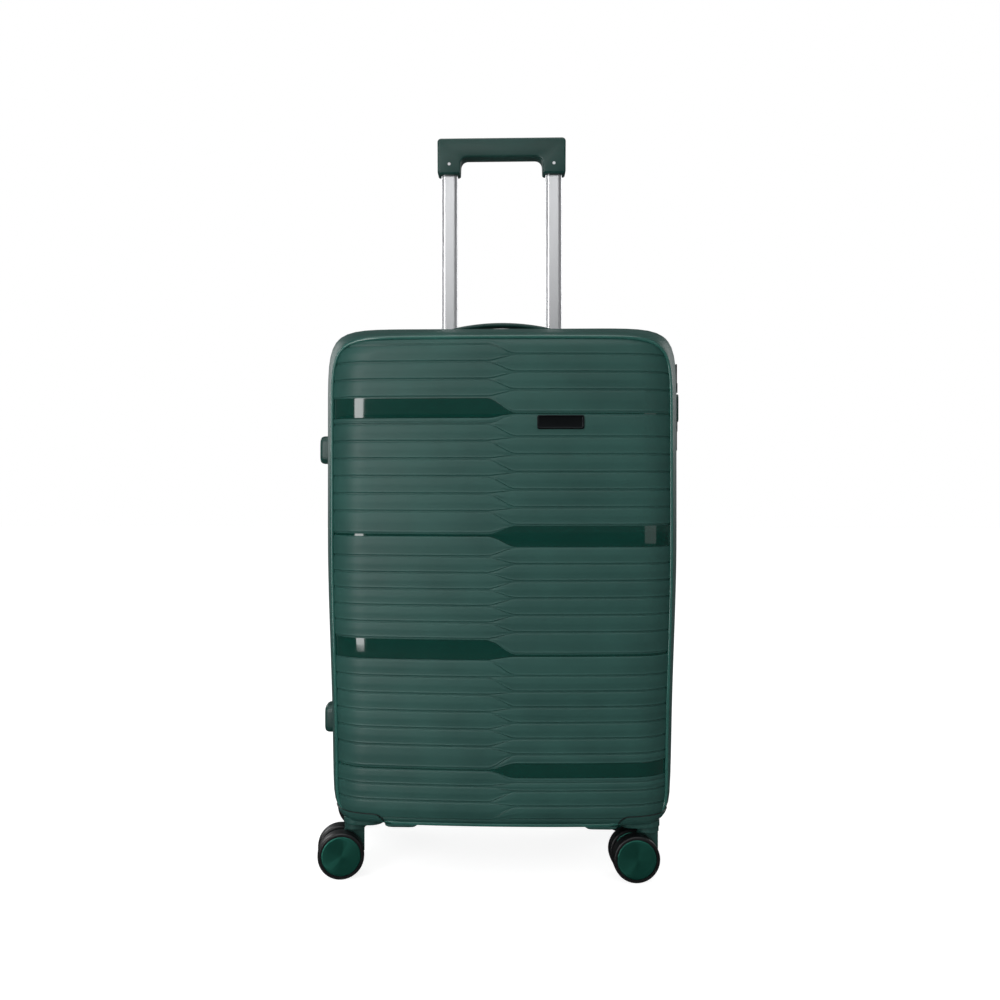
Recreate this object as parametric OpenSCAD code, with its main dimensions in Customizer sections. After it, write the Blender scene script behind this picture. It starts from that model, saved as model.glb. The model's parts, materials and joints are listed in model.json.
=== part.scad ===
// Hard-shell spinner suitcase: two zipped half shells, four twin-wheel casters
// and a two-stage trolley handle, drawn with the handle's upper stage pulled out.
// Millimetres. +Z is up, the lid faces -Y, and the zip lies in the plane Y = 0.
// The origin is on the floor, below the middle of the case.

/* [Case] */
// Width across the two sides of the shells
body_w = 444; // [370:1:534]
// Height of the shells, without the wheels
body_h = 594; // [495:1:714]
// Depth of each half, from the zip to its face
half_d = 132; // [110:1:160]
// Thickness of the shells
wall = 2.6; // [2:0.1:4]
// Share of the width that the case loses towards its foot
taper = 0.03; // [0:0.005:0.05]
// How far the side and top walls lean in from the zip to the face
draft = 22; // [12:1:28]
// Radius of the upright edges of the face
side_r = 40; // [25:1:45]
// Radius of the edge along the top of the face
top_r = 18; // [12:1:30]
// Radius of the edge along the foot of the face
foot_r = 25; // [15:1:30]
// How far the face swells towards its middle
crown = 16; // [0:1:20]
// Width of the zip between the two shells
zip_w = 14; // [10:0.5:18]

/* [Casters] */
// Diameter of a wheel over its tyre
wheel_d = 55; // [45:1:66]
// Width of one wheel of a pair
wheel_w = 17; // [12:0.5:22]
// Gap between the two wheels of a pair
twin_gap = 10; // [8:0.5:14]
// Thickness of a tyre
tyre_t = 4; // [3:0.5:7]
// Distance from the swivel axis back to the axle
trail = 17; // [12:0.5:20]
// Diameter of an axle
axle_d = 6; // [4:0.5:8]
// Diameter of a swivel stem
stem_d = 10; // [8:0.5:12]
// Diameter of the neck above the wheels
neck_d = 25; // [20:1:28]
// Distance from a side of the case to a swivel axis
caster_side = 48; // [44:1:66]
// Distance from a face of the case to a swivel axis
caster_face = 45; // [42:1:60]

/* [Trolley handle] */
// How far the grip stands above the case
handle_out = 267; // [200:1:300]
// How far the lower stage can rise
second_lift = 220; // [150:1:240]
// Distance between the two tubes
tube_gap = 141; // [110:1:170]
// Width of an upper tube
tube_w = 22; // [18:0.5:24]
// Depth of an upper tube
tube_t = 11; // [9:0.5:13]
// Wall of every tube
tube_wall = 1.3; // [1:0.1:1.8]
// Distance from the back of the case to the tubes
tube_back = 44; // [38:1:52]
// Width of the grip
grip_w = 173; // [150:1:200]
// Height of the grip
grip_h = 48; // [42:1:56]
// Depth of the grip, front to back
grip_t = 28; // [22:1:32]
// Thickness of the grip's bar
bar_h = 28; // [22:1:32]
// Width of the release button
button_w = 36; // [26:1:44]
// Travel of the release button
button_travel = 5; // [3:0.5:7]

/* [Carry handle] */
// Distance between the handle's two legs
carry_w = 150; // [120:1:170]
// Width of the handle, front to back
carry_t = 24; // [18:1:28]
// How far the handle lifts
carry_lift = 14; // [8:1:18]
// Distance from the zip to the handle
carry_y = 42; // [34:1:48]

/* [Lock] */
// Height of the lock on the side of the case
lock_h = 35; // [32:1:44]
// Width of the lock
lock_w = 26; // [22:1:30]
// How far the lock stands out
lock_out = 4; // [3:0.5:6]
// Diameter of a number wheel
dial_d = 13; // [11:0.5:15]
// Width of a number wheel
dial_w = 4.6; // [4:0.2:5.2]

/* [Side feet] */
// Height of a foot along the case
foot_h = 36; // [28:1:44]
// Width of a foot
foot_w = 28; // [20:1:34]
// How far a foot stands out
foot_out = 12.6; // [8:0.2:16]

/* [Clearances] */
// Running clearance of pins in bores, on the radius
run_fit = 0.05; // [0.02:0.01:0.1]
// Gap round pieces that slide
slide_gap = 0.3; // [0.3:0.05:0.6]
// Gap round pieces that are fixed in a cut-out
seat_gap = 0.15; // [0.1:0.05:0.3]

/* [Hidden] */
$fn = 48;

// Case
half_w = body_w / 2;
half_h = body_h / 2;
pad_t = 4;                              // corner housing below the shell
neck_h = 8;                             // room between the wheels and the housing
lift = wheel_d + neck_h + pad_t;        // underside of the shells
case_z = lift + half_h;
top_z = lift + body_h;
core = half_h - half_w;
rim_y = zip_w / 2;
corner_n = 11;                          // exponent of the outline's corners
foot_n = 8;                             // growth of the lower corners' exponent to the face
corner_steps = 4;
side_steps = 4;
WALL_TURNS = [0, 20, 40, 55, 70, 90];   // places round the edge from wall to face, in degrees
FACE_SHARES = [0.7, 0.35, 0.08];        // rings across the face
rings = 1 + len(WALL_TURNS) + len(FACE_SHARES);
taper_top = lift + 0.56 * body_h;
taper_foot = lift + 0.09 * body_h;
green = [0.17, 0.29, 0.26];
gloss_green = [0.06, 0.20, 0.17];

// Corner housings and casters
caster_x = half_w - caster_side;
caster_y = half_d - caster_face;
housing_side = 84;                      // reach of a housing from the side of the case
housing_face = 82;                      // reach of a housing from the face of the case
housing_h = 15;                         // height of a housing above the shell's underside
housing_r = 12;
housing_x = half_w - housing_side;
housing_y = half_d - housing_face;
cup_w = 38;                             // hollow of a housing, open to the inside
cup_d = 44;
cup_x = housing_x + 4 + cup_w / 2;
cup_y = housing_y + 4 + cup_d / 2;
cup_floor = 5;
rivet_x = cup_w / 2 - 6;
rivet_y = cup_d / 2 - 6;
bushing_r = stem_d / 2 + 5;
bushing_h = 17;
stem_in = bushing_h - 2;
wheel_r = wheel_d / 2;
rim_r = wheel_r - tyre_t;
web_t = twin_gap - 1.2;
web_w = neck_d - 3;                     // the fork's web, seen from the side of the wheels
FRONT_LEFT = [-caster_x, -caster_y, 9];
FRONT_RIGHT = [caster_x, -caster_y, 4];
REAR_LEFT = [-caster_x, caster_y, -7];
REAR_RIGHT = [caster_x, caster_y, 6];

// Trolley
tube_y = half_d - tube_back;
grip_top = top_z + handle_out;
grip_foot = grip_top - grip_h;
opening_w = tube_gap - tube_w - 9.5;    // clear width between the grip's legs
grip_wide = max(grip_w, tube_gap + tube_w + 10); // wide enough to hold both tubes
socket_top = grip_top - 14;
mid_w = tube_w + 2 * (slide_gap + tube_wall);
mid_t = tube_t + 2 * (slide_gap + tube_wall);
outer_w = mid_w + 2 * (slide_gap + tube_wall);
outer_t = mid_t + 2 * (slide_gap + tube_wall);
seat_floor = top_z - grip_h - 1.5;
seat_t = 4;
seat_drop = 6;                          // the recess's edge lies below the top of the case
seat_room = 3;                          // room round the grip in its recess
pocket_w = grip_wide + 2 * seat_room;
pocket_t = grip_t + 2 * seat_room;
seat_w = pocket_w + 2 * seat_t;
seat_d = pocket_t + 2 * seat_t;
engage = 70;                            // overlap of the pulled-out tubes
foot_z = lift + wall + 1;
foot_block_h = 16;
mid_foot = foot_z + foot_block_h + 20;

// Carry handle
leg_x = carry_w / 2;
leg_w = 6;
leg_t = carry_t - 9;
leg_deep = carry_lift + 12;
mount_w = 22;
mount_drop = 5.5;                       // the mounts end this far below the top of the case
strap_h = 5;
carry_rise = 11.7;                      // middle of the handle above the top of the case
arch_drop = 10;                         // ends of the handle below its middle

// Lock
lock_y = rim_y + 3 + lock_w / 2;
lock_z = lift + 0.83 * body_h;
lock_deep = dial_d + 3;
dial_x = half_w + lock_out + 0.8 - dial_d / 2;
dial_pitch = dial_w + 1;
shaft_d = 3;
dial_z0 = lock_z + 2;

// Zip, lining and straps
zip_t = 2.6;
zip_in = 3.2;
lining_t = 1;
lining_in = wall + 1.3;
rear_room = tube_y - outer_t / 2 - 3;
front_room = half_d - lining_in;
strap_w = 25;
strap_t = 1.4;
strap_start = 42;                       // the straps begin just clear of the buckle
strap_y = rim_y + 3;
foot_z1 = lift + 0.735 * body_h;
foot_z2 = lift + 0.16 * body_h;

// Height-wise easing from 0 to 1
function smooth(t) = let (u = min(1, max(0, t))) u * u * (3 - 2 * u);
function narrow(z) = 1 - taper * smooth((taper_top - z) / (taper_top - taper_foot));

// The unit outline: a square with superelliptic corners, as [x, z, side of the middle]
function squircle(a, n) = pow(pow(abs(cos(a)), n) + pow(abs(sin(a)), n), -1 / n);
function bend(i) = 45 + 15 * sign(i) * pow(abs(i) / corner_steps, 1.4);
function corner(quarter, up, n) = [for (i = [-corner_steps:corner_steps])
    let (a = 90 * quarter + bend(i), r = squircle(a, n)) [r * cos(a), r * sin(a), up]];
function side(dir, n) = [for (i = [1:side_steps])
    let (w = dir * (2 * i / (side_steps + 1) - 1), r = squircle(30, n))
    [dir * r * cos(30), r * sin(30) * w, w]];
function unit_outline(n, n_foot) = concat(corner(-1, -1, n_foot), side(1, n), corner(0, 1, n),
    corner(1, 1, n), side(-1, n), corner(2, -1, n_foot));
COUNT = len(unit_outline(corner_n, corner_n));

// One ring: half width w and from low to high at the depth y, swollen by the crown
function ring(w, low, high, y) = [for (v = unit_outline(corner_n, corner_n + foot_n * y / half_d))
    let (mid = (low + high) / 2, tall = (high - low) / 2, part = min(w, tall),
        z = mid + (tall - part) * v[2] + part * v[1], x = w * v[0] * narrow(z))
    [x, y - crown * pow(x / half_w * y / half_d, 2), z]];

// How far a wall with draft lean and edge radius r has come in at the depth y
function rounding(y, deep, r) = let (u = min(r, max(0, y - deep + r))) r - sqrt(r * r - u * u);
function wall_in(y, deep, lean, r) = lean * y / half_d + rounding(y, deep, r);

// Rings from the rim, round the edge and across the face, inset g from the outside
function bowl_ring(g, deep, y, share) = let (
        w = (half_w - g - wall_in(y, deep, draft, side_r - g)) * share,
        low = lift + g + wall_in(y, deep, 0, foot_r - g),
        high = top_z - g - wall_in(y, deep, draft, max(4, top_r - g)),
        mid = (low + high) / 2)
    ring(w, mid + (low - mid) * share, mid + (high - mid) * share, y);
function bowl_rings(g, deep, rim) = let (r = side_r - g) concat(
    [bowl_ring(g, deep, rim, 1)],
    [for (a = WALL_TURNS) bowl_ring(g, deep, deep - r + r * sin(a), 1)],
    [for (share = FACE_SHARES) bowl_ring(g, deep, deep, share)]);
function flatten(list) = [for (part = list, point = part) point];

// Faces of a stack of rings, as triangles, and of the fan that closes its last ring
function skin(first, turn) = [for (k = [0:rings - 2], i = [0:COUNT - 1])
    let (j = (i + 1) % COUNT, a = first + k * COUNT + i, b = first + k * COUNT + j, c = a + COUNT, d = b + COUNT)
    each turn ? [[a, b, d], [a, d, c]] : [[a, d, b], [a, c, d]]];
function fan(first, centre, turn) = [for (i = [0:COUNT - 1])
    let (j = (i + 1) % COUNT) turn ? [first + i, first + j, centre] : [first + j, first + i, centre]];
function loop(first) = [for (i = [0:COUNT - 1]) first + COUNT - 1 - i];

module bowl_solid(g, deep, rim) {
    last = (rings - 1) * COUNT;
    polyhedron(concat(flatten(bowl_rings(g, deep, rim)), [[0, deep, case_z]]),
        concat(skin(0, true), [loop(0)], fan(last, last + COUNT, true)));
}

module bowl(g, deep, thick, rim) {
    last = (rings - 1) * COUNT;
    inner = rings * COUNT + 1;
    polyhedron(concat(flatten(bowl_rings(g, deep, rim)), [[0, deep, case_z]],
            flatten(bowl_rings(g + thick, deep - thick, rim)), [[0, deep - thick, case_z]]),
        concat(skin(0, true), fan(last, last + COUNT, true),
            skin(inner, false), fan(inner + last, inner + last + COUNT, false),
            [for (i = [0:COUNT - 1]) let (j = (i + 1) % COUNT) each
                [[j, i, inner + i], [j, inner + i, inner + j]]]));
}

// Keeps a skin with cuts in it as one closed mesh
module as_one_mesh() {
    resize([0, 0, 0])
        children();
}

// Flat outline of the case, inset g, in X and Z
module outline(g) {
    polygon([for (p = ring(half_w - g, lift + g, top_z - g, 0)) [p.x, p.z]]);
}

// Stands a flat shape up in XZ, from y0 to y0 + t
module upright(y0, t) {
    translate([0, y0 + t, 0])
        rotate([90, 0, 0])
            linear_extrude(t)
                children();
}

module stadium(w, d) {
    square([w - d, d], center = true);
    for (s = [-1, 1])
        translate([s * (w - d) / 2, 0])
            circle(d = d);
}

module round_rect(w, h, r) {
    square([w - 2 * r, h], center = true);
    square([w, h - 2 * r], center = true);
    for (sx = [-1, 1], sy = [-1, 1])
        translate([sx * (w / 2 - r), sy * (h / 2 - r)])
            circle(r);
}

module box(low, high) {
    translate(low)
        cube(high - low);
}

// Repeats its children on the left and on the right
module both_sides() {
    children();
    mirror([1, 0, 0])
        children();
}

// ---- Half shells ----

// The corner that a housing takes out of a shell, grown by gap
module corner_prism(gap) {
    upright(housing_y - gap, half_d)
        translate([housing_x - gap, lift - 20])
            intersection() {
                translate([half_w / 2, 0])
                    square([half_w, 2 * (20 + housing_h + gap)], center = true);
                union() {
                    translate([housing_r + gap, 0])
                        square([half_w, 20 + housing_h + gap]);
                    square([half_w, 20 + housing_h + gap - housing_r - gap]);
                    translate([housing_r + gap, 20 + housing_h - housing_r])
                        circle(housing_r + gap);
                }
            }
}

module shell() {
    difference() {
        bowl(0, half_d, wall, rim_y);
        both_sides()
            corner_prism(seat_gap);
    }
}

module rear_shell() {
    color(green)
        as_one_mesh()
            difference() {
                shell();
                box([-seat_w / 2 - seat_gap, tube_y - seat_d / 2 - seat_gap, seat_floor - 2 * seat_t],
                    [seat_w / 2 + seat_gap, tube_y + seat_d / 2 + seat_gap, top_z + 5]);
                lock_block(seat_gap);
                both_sides()
                    mount_block(seat_gap);
            }
}

module front_shell() {
    color(green)
        as_one_mesh()
            mirror([0, 1, 0])
                shell();
}

module housing() {
    difference() {
        union() {
            intersection() {
                bowl_solid(0, half_d, rim_y);
                corner_prism(0);
            }
            translate([housing_x + 25, housing_y + 29, lift - pad_t])
                linear_extrude(pad_t + 4)
                    round_rect(48, 54, 16);
        }
        translate([cup_x, cup_y, lift + cup_floor])
            linear_extrude(housing_h + 5)
                round_rect(cup_w, cup_d, 8);
        translate([caster_x, caster_y, 0])
            cylinder(r = bushing_r, h = lift + housing_h);
    }
}

module rear_corner_housings() {
    color(green)
        both_sides()
            housing();
}

module front_corner_housings() {
    color(green)
        mirror([0, 1, 0])
            both_sides()
                housing();
}

module bushings() {
    both_sides()
        translate([caster_x, caster_y, lift - pad_t])
            difference() {
                cylinder(r = bushing_r, h = bushing_h);
                translate([0, 0, -1])
                    cylinder(d = stem_d + 2 * run_fit, h = bushing_h + 2);
            }
}

module rear_swivel_bushings() {
    color("dimgray")
        bushings();
}

module front_swivel_bushings() {
    color("dimgray")
        mirror([0, 1, 0])
            bushings();
}

// Three rivet heads on the floor of each housing
module rivets() {
    both_sides()
        for (d = [[-1, -1], [-1, 1], [1, -1]])
            translate([cup_x + d.x * rivet_x, cup_y + d.y * rivet_y, lift + cup_floor])
                cylinder(d = 5, h = 2);
}

module rear_rivets() {
    color("silver")
        rivets();
}

module front_rivets() {
    color("silver")
        mirror([0, 1, 0])
            rivets();
}

// ---- Zip, hinge strip and lining ----

module zip_half() {
    upright(slide_gap, rim_y - 2 * slide_gap)
        difference() {
            outline(zip_in);
            outline(zip_in + zip_t);
        }
}

module rear_zip() {
    color("black")
        zip_half();
}

module front_zip() {
    color("black")
        mirror([0, 1, 0])
            zip_half();
}

module fabric_hinge() {
    color("black")
        upright(1 - rim_y, 2 * rim_y - 1.2)
            intersection() {
                difference() {
                    outline(zip_in + zip_t + 0.2);
                    outline(zip_in + zip_t + 1.4);
                }
                translate([-half_w, lift + 0.14 * body_h])
                    square([half_w / 2, 0.69 * body_h]);
            }
}

module lining(deep) {
    difference() {
        bowl(lining_in, deep, lining_t, rim_y + 0.2);
        both_sides()
            corner_prism(2);
    }
}

module rear_lining() {
    color("dimgray")
        as_one_mesh()
            difference() {
                lining(rear_room);
                lock_block(1);
                both_sides()
                    mount_block(1);
                box([-seat_w / 2 - 2, tube_y - seat_d / 2 - 2, seat_floor - 2 * seat_t],
                    [seat_w / 2 + 2, half_d, top_z]);
            }
}

module front_lining() {
    color("dimgray")
        as_one_mesh()
            mirror([0, 1, 0])
                lining(front_room);
}

// Pocket of mesh across the lower part of the lid
module mesh_pocket() {
    color("gray")
        upright(-rim_y - 3 - strap_t, strap_t)
            intersection() {
                outline(lining_in + lining_t + 3);
                translate([-half_w, lift])
                    square([body_w, 0.52 * body_h]);
            }
}

// Elastic straps from the four corners of the base to the buckle
module cross_straps() {
    reach_x = half_w - 26;
    reach_z = half_h - 40;
    angle = atan2(reach_z, reach_x);
    length = norm([reach_x, reach_z]) - 12;
    color("black")
        for (sx = [-1, 1], sz = [-1, 1])
            translate([0, strap_y, case_z])
                rotate([0, -sz * sx * angle + (sx < 0 ? 180 : 0), 0])
                    translate([strap_start, 0, -strap_w / 2])
                        cube([length - strap_start, strap_t, strap_w]);
}

module strap_buckle() {
    color("black")
        upright(strap_y - 2, 5)
            translate([0, case_z])
                round_rect(46, 58, 8);
}

// ---- Trolley ----

module at_tubes() {
    for (s = [-1, 1])
        translate([s * tube_gap / 2, tube_y, 0])
            children();
}

module tube(w, t, low, high) {
    translate([0, 0, low])
        linear_extrude(high - low)
            difference() {
                stadium(w, t);
                stadium(w - 2 * tube_wall, t - 2 * tube_wall);
            }
}

module trolley_seat() {
    color("black")
        difference() {
            box([-seat_w / 2, tube_y - seat_d / 2, seat_floor - seat_t],
                [seat_w / 2, tube_y + seat_d / 2, top_z - seat_drop]);
            translate([0, tube_y, seat_floor])
                linear_extrude(grip_h + 10)
                    round_rect(pocket_w, pocket_t, 8);
            at_tubes()
                translate([0, 0, seat_floor - 2 * seat_t])
                    linear_extrude(3 * seat_t)
                        stadium(mid_w + 2 * slide_gap, mid_t + 2 * slide_gap);
        }
}

module trolley_outer_tubes() {
    color("silver")
        at_tubes()
            tube(outer_w, outer_t, foot_z + foot_block_h / 2, seat_floor - seat_t);
}

module trolley_foot_bracket() {
    color("black")
        difference() {
            box([-tube_gap / 2 - outer_w / 2 - 4, tube_y - outer_t / 2 - 2, foot_z],
                [tube_gap / 2 + outer_w / 2 + 4, tube_y + outer_t / 2 + 4, foot_z + foot_block_h]);
            at_tubes()
                translate([0, 0, foot_z + foot_block_h / 2])
                    linear_extrude(foot_block_h)
                        stadium(outer_w, outer_t);
        }
}

module trolley_middle_tubes() {
    color("silver")
        at_tubes()
            tube(mid_w, mid_t, mid_foot, seat_floor);
}

module trolley_inner_tubes() {
    color("silver")
        at_tubes()
            tube(tube_w, tube_t, seat_floor - engage, socket_top);
}

module grip() {
    color(green)
        difference() {
            upright(tube_y - grip_t / 2, grip_t)
                translate([0, grip_top - grip_h / 2])
                    difference() {
                        round_rect(grip_wide, grip_h, 5);
                        translate([0, -bar_h])
                            round_rect(opening_w, grip_h, 10);
                    }
            at_tubes()
                translate([0, 0, grip_foot - 1])
                    linear_extrude(socket_top - grip_foot + 1)
                        stadium(tube_w, tube_t);
            translate([0, tube_y, grip_top - button_travel - 8])
                linear_extrude(30)
                    stadium(button_w + 2 * slide_gap, grip_t / 2 + 2 * slide_gap);
            at_tubes()
                translate([0, 0, grip_foot + 13])
                    rotate([90, 0, 0])
                        cylinder(d = 4, h = 2 * grip_t, center = true);
        }
}

// Rivets through the grip's legs, seen front and back
module grip_rivets() {
    color("silver")
        at_tubes()
            for (s = [-1, 1])
                translate([0, s * (grip_t / 2 - 2), grip_foot + 13])
                    rotate([90, 0, 0])
                        cylinder(d = 4, h = 4.6, center = true);
}

module grip_button() {
    color("gray")
        translate([0, tube_y, grip_top - 7])
            linear_extrude(7)
                stadium(button_w, grip_t / 2);
}

// ---- Carry handle ----

// A mount's body, which stands in a hole of the shell, grown by gap
module mount_block(gap) {
    translate([leg_x, carry_y, top_z - leg_deep - mount_drop - 2 * gap])
        linear_extrude(leg_deep + 4 * gap)
            round_rect(mount_w + 2 * gap, carry_t + 4 + 2 * gap, 7);
}

module carry_handle_mounts() {
    color(green)
        both_sides()
            difference() {
                mount_block(0);
                translate([leg_x, carry_y, top_z - 2 * leg_deep])
                    linear_extrude(4 * leg_deep)
                        square([leg_w + 2 * slide_gap, leg_t + 2 * slide_gap], center = true);
            }
}

// Height of the handle's upper face at x
function arch(x) = top_z + carry_rise - arch_drop * pow(x / leg_x, 2);

module carry_handle() {
    end_x = leg_x + leg_w / 2 + 3;
    steps = 12;
    over = [for (i = [-steps:steps]) let (x = end_x * i / steps) [x, arch(x)]];
    under = [for (i = [steps:-1:-steps]) let (x = end_x * i / steps) [x, arch(x) - strap_h]];
    color(green) {
        upright(carry_y - carry_t / 2, carry_t)
            polygon(concat(under, over));
        both_sides()
            translate([leg_x, carry_y, top_z - leg_deep - mount_drop + 2])
                linear_extrude(arch(leg_x) - strap_h / 2 - top_z + leg_deep + mount_drop - 2)
                    square([leg_w, leg_t], center = true);
    }
}

// ---- Lock ----

// The lock's body, which stands in a hole of the shell, grown by gap
module lock_block(gap) {
    translate([half_w - lock_deep - 2 * gap, lock_y, lock_z])
        rotate([90, 0, 90])
            linear_extrude(lock_deep + lock_out + 4 * gap)
                round_rect(lock_w + 2 * gap, lock_h + 2 * gap, 4);
}

module lock_housing() {
    color(green)
        difference() {
            lock_block(0);
            translate([dial_x, lock_y, dial_z0 - dial_pitch / 2 - 0.2])
                cylinder(d = dial_d + 1.2, h = 3 * dial_pitch + 0.4);
            box([dial_x, lock_y - dial_d / 2 - 0.6, dial_z0 - dial_pitch / 2 - 0.2],
                [half_w + 20, lock_y + dial_d / 2 + 0.6, dial_z0 + 2.5 * dial_pitch + 0.2]);
            box([half_w - 4, lock_y - 6 - slide_gap, lock_z - 11.5 - slide_gap],
                [half_w + 20, lock_y + 6 + slide_gap, lock_z - 4.5 + slide_gap]);
            translate([dial_x, lock_y, dial_z0 - dial_pitch])
                cylinder(d = shaft_d, h = 4 * dial_pitch);
        }
}

module dial_shaft() {
    color("silver")
        translate([dial_x, lock_y, dial_z0 - dial_pitch])
            cylinder(d = shaft_d, h = 4 * dial_pitch - 0.5);
}

module dial(i) {
    color("gray")
        translate([dial_x, lock_y, dial_z0 + i * dial_pitch - dial_w / 2])
            difference() {
                cylinder(d = dial_d, h = dial_w);
                translate([0, 0, -1])
                    cylinder(d = shaft_d + 2 * run_fit, h = dial_w + 2);
                for (n = [0:9])
                    rotate(36 * n)
                        translate([dial_d / 2 + 0.5, 0, -1])
                            cylinder(d = 2, h = dial_w + 2);
            }
}

module lock_button() {
    color("silver")
        box([half_w - 1, lock_y - 6, lock_z - 11.5], [half_w + lock_out + 0.8, lock_y + 6, lock_z - 4.5]);
}

// A slider over the zip with a pull tab lying beside the lock
module zip_puller(up) {
    face = half_w - zip_in + 0.5;
    z0 = lock_z + up * (lock_h / 2 + 7);
    color("silver") {
        translate([face, -5, z0 - 6])
            cube([3, 10, 12]);
        difference() {
            translate([face + 1, -4, z0 + (up > 0 ? 4 : -30)])
                cube([1.6, 8, 26]);
            translate([face, 0, z0 + up * 25])
                rotate([0, 90, 0])
                    cylinder(d = 4, h = 5);
        }
    }
}

// ---- Small outer pieces ----

module side_feet() {
    color(green)
        difference() {
            for (z = [foot_z1, foot_z2])
                translate([-half_w * narrow(z), rim_y + 7 + foot_w / 2, z])
                    rotate([90, 0, -90])
                        translate([0, 0, -wall - 8]) {
                            linear_extrude(wall + 11)
                                round_rect(foot_w + 6, foot_h + 6, 6);
                            linear_extrude(wall + 8 + foot_out)
                                round_rect(foot_w, foot_h, 5);
                        }
            bowl_solid(-0.05, half_d, rim_y);
        }
}

module badge_plate() {
    x = 0.155 * body_w;
    color([0.15, 0.15, 0.15])
        translate([x, crown * pow(x / half_w, 2) - half_d - 0.05, lift + 0.79 * body_h])
            rotate([90, 0, atan(2 * crown * x / half_w / half_w)])
                linear_extrude(1.4)
                    round_rect(54, 16, 2.5);
}

// ---- Casters ----

// Puts a caster, drawn at the origin and rolling to -X, in its corner
module at_corner(place) {
    translate([place[0], place[1], 0])
        rotate(place[2])
            children();
}

module fork() {
    color(green)
        difference() {
            union() {
                translate([0, 0, wheel_d + 0.8])
                    cylinder(d = neck_d, h = neck_h - 1.2);
                cylinder_between(wheel_d + 2, lift - pad_t + stem_in, stem_d);
                upright(-web_t / 2, web_t) {
                    polygon([[-web_w / 2, wheel_d + 2], [web_w / 2, wheel_d + 2],
                        [web_w / 2, wheel_r + 1], [web_w / 2 - 7, wheel_r - 7],
                        [8 - trail, wheel_r - 9], [-8 - trail, wheel_r - 6]]);
                    translate([-trail, wheel_r])
                        circle(10);
                }
            }
            translate([-trail, 0, wheel_r])
                rotate([90, 0, 0])
                    cylinder(d = axle_d, h = 60, center = true);
        }
}

module cylinder_between(low, high, d) {
    translate([0, 0, low])
        cylinder(d = d, h = high - low);
}

module axle() {
    color("silver")
        translate([-trail, 0, wheel_r])
            rotate([90, 0, 0])
                cylinder(d = axle_d, h = twin_gap + 2 * wheel_w - 6, center = true);
}

// Lays a wheel, drawn from its inner face up, on the axle: side -1 is to the front
module on_axle(side) {
    translate([-trail, side * twin_gap / 2, wheel_r])
        rotate([-90 * side, 0, 0])
            children();
}

module tyre(side) {
    color("black")
        on_axle(side)
            rotate_extrude($fn = 96)
                polygon([[rim_r, 0.8], [wheel_r - 1.6, 0.8], [wheel_r, 2.6], [wheel_r, wheel_w - 2.6],
                    [wheel_r - 1.6, wheel_w - 0.8], [rim_r, wheel_w - 0.8]]);
}

module hub(side) {
    bore = axle_d / 2 + run_fit;
    color(gloss_green)
        on_axle(side)
            rotate_extrude($fn = 96)
                polygon([[bore, 0], [rim_r, 0], [rim_r, wheel_w - 1], [rim_r - 2, wheel_w],
                    [0, wheel_w + 1], [0, wheel_w - 2], [bore, wheel_w - 2]]);
}

rear_shell();
rear_corner_housings();
rear_swivel_bushings();
rear_lining();
rear_zip();
fabric_hinge();
trolley_seat();
trolley_outer_tubes();
trolley_foot_bracket();
carry_handle_mounts();
lock_housing();
dial_shaft();
side_feet();
rear_rivets();
cross_straps();
strap_buckle();
front_shell();
front_corner_housings();
front_swivel_bushings();
front_lining();
front_zip();
mesh_pocket();
badge_plate();
front_rivets();
trolley_middle_tubes();
trolley_inner_tubes();
grip();
grip_rivets();
grip_button();
carry_handle();
dial(0);  // dial_1
dial(1);  // dial_2
dial(2);  // dial_3
lock_button();
zip_puller(1);  // upper_zip_puller
zip_puller(-1);  // lower_zip_puller
at_corner(FRONT_LEFT) fork();  // front_left_fork
at_corner(FRONT_LEFT) axle();  // front_left_axle
at_corner(FRONT_LEFT) tyre(-1);  // front_left_tyre_1
at_corner(FRONT_LEFT) hub(-1);  // front_left_hub_1
at_corner(FRONT_LEFT) tyre(1);  // front_left_tyre_2
at_corner(FRONT_LEFT) hub(1);  // front_left_hub_2
at_corner(FRONT_RIGHT) fork();  // front_right_fork
at_corner(FRONT_RIGHT) axle();  // front_right_axle
at_corner(FRONT_RIGHT) tyre(-1);  // front_right_tyre_1
at_corner(FRONT_RIGHT) hub(-1);  // front_right_hub_1
at_corner(FRONT_RIGHT) tyre(1);  // front_right_tyre_2
at_corner(FRONT_RIGHT) hub(1);  // front_right_hub_2
at_corner(REAR_LEFT) fork();  // rear_left_fork
at_corner(REAR_LEFT) axle();  // rear_left_axle
at_corner(REAR_LEFT) tyre(-1);  // rear_left_tyre_1
at_corner(REAR_LEFT) hub(-1);  // rear_left_hub_1
at_corner(REAR_LEFT) tyre(1);  // rear_left_tyre_2
at_corner(REAR_LEFT) hub(1);  // rear_left_hub_2
at_corner(REAR_RIGHT) fork();  // rear_right_fork
at_corner(REAR_RIGHT) axle();  // rear_right_axle
at_corner(REAR_RIGHT) tyre(-1);  // rear_right_tyre_1
at_corner(REAR_RIGHT) hub(-1);  // rear_right_hub_1
at_corner(REAR_RIGHT) tyre(1);  // rear_right_tyre_2
at_corner(REAR_RIGHT) hub(1);  // rear_right_hub_2
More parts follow.
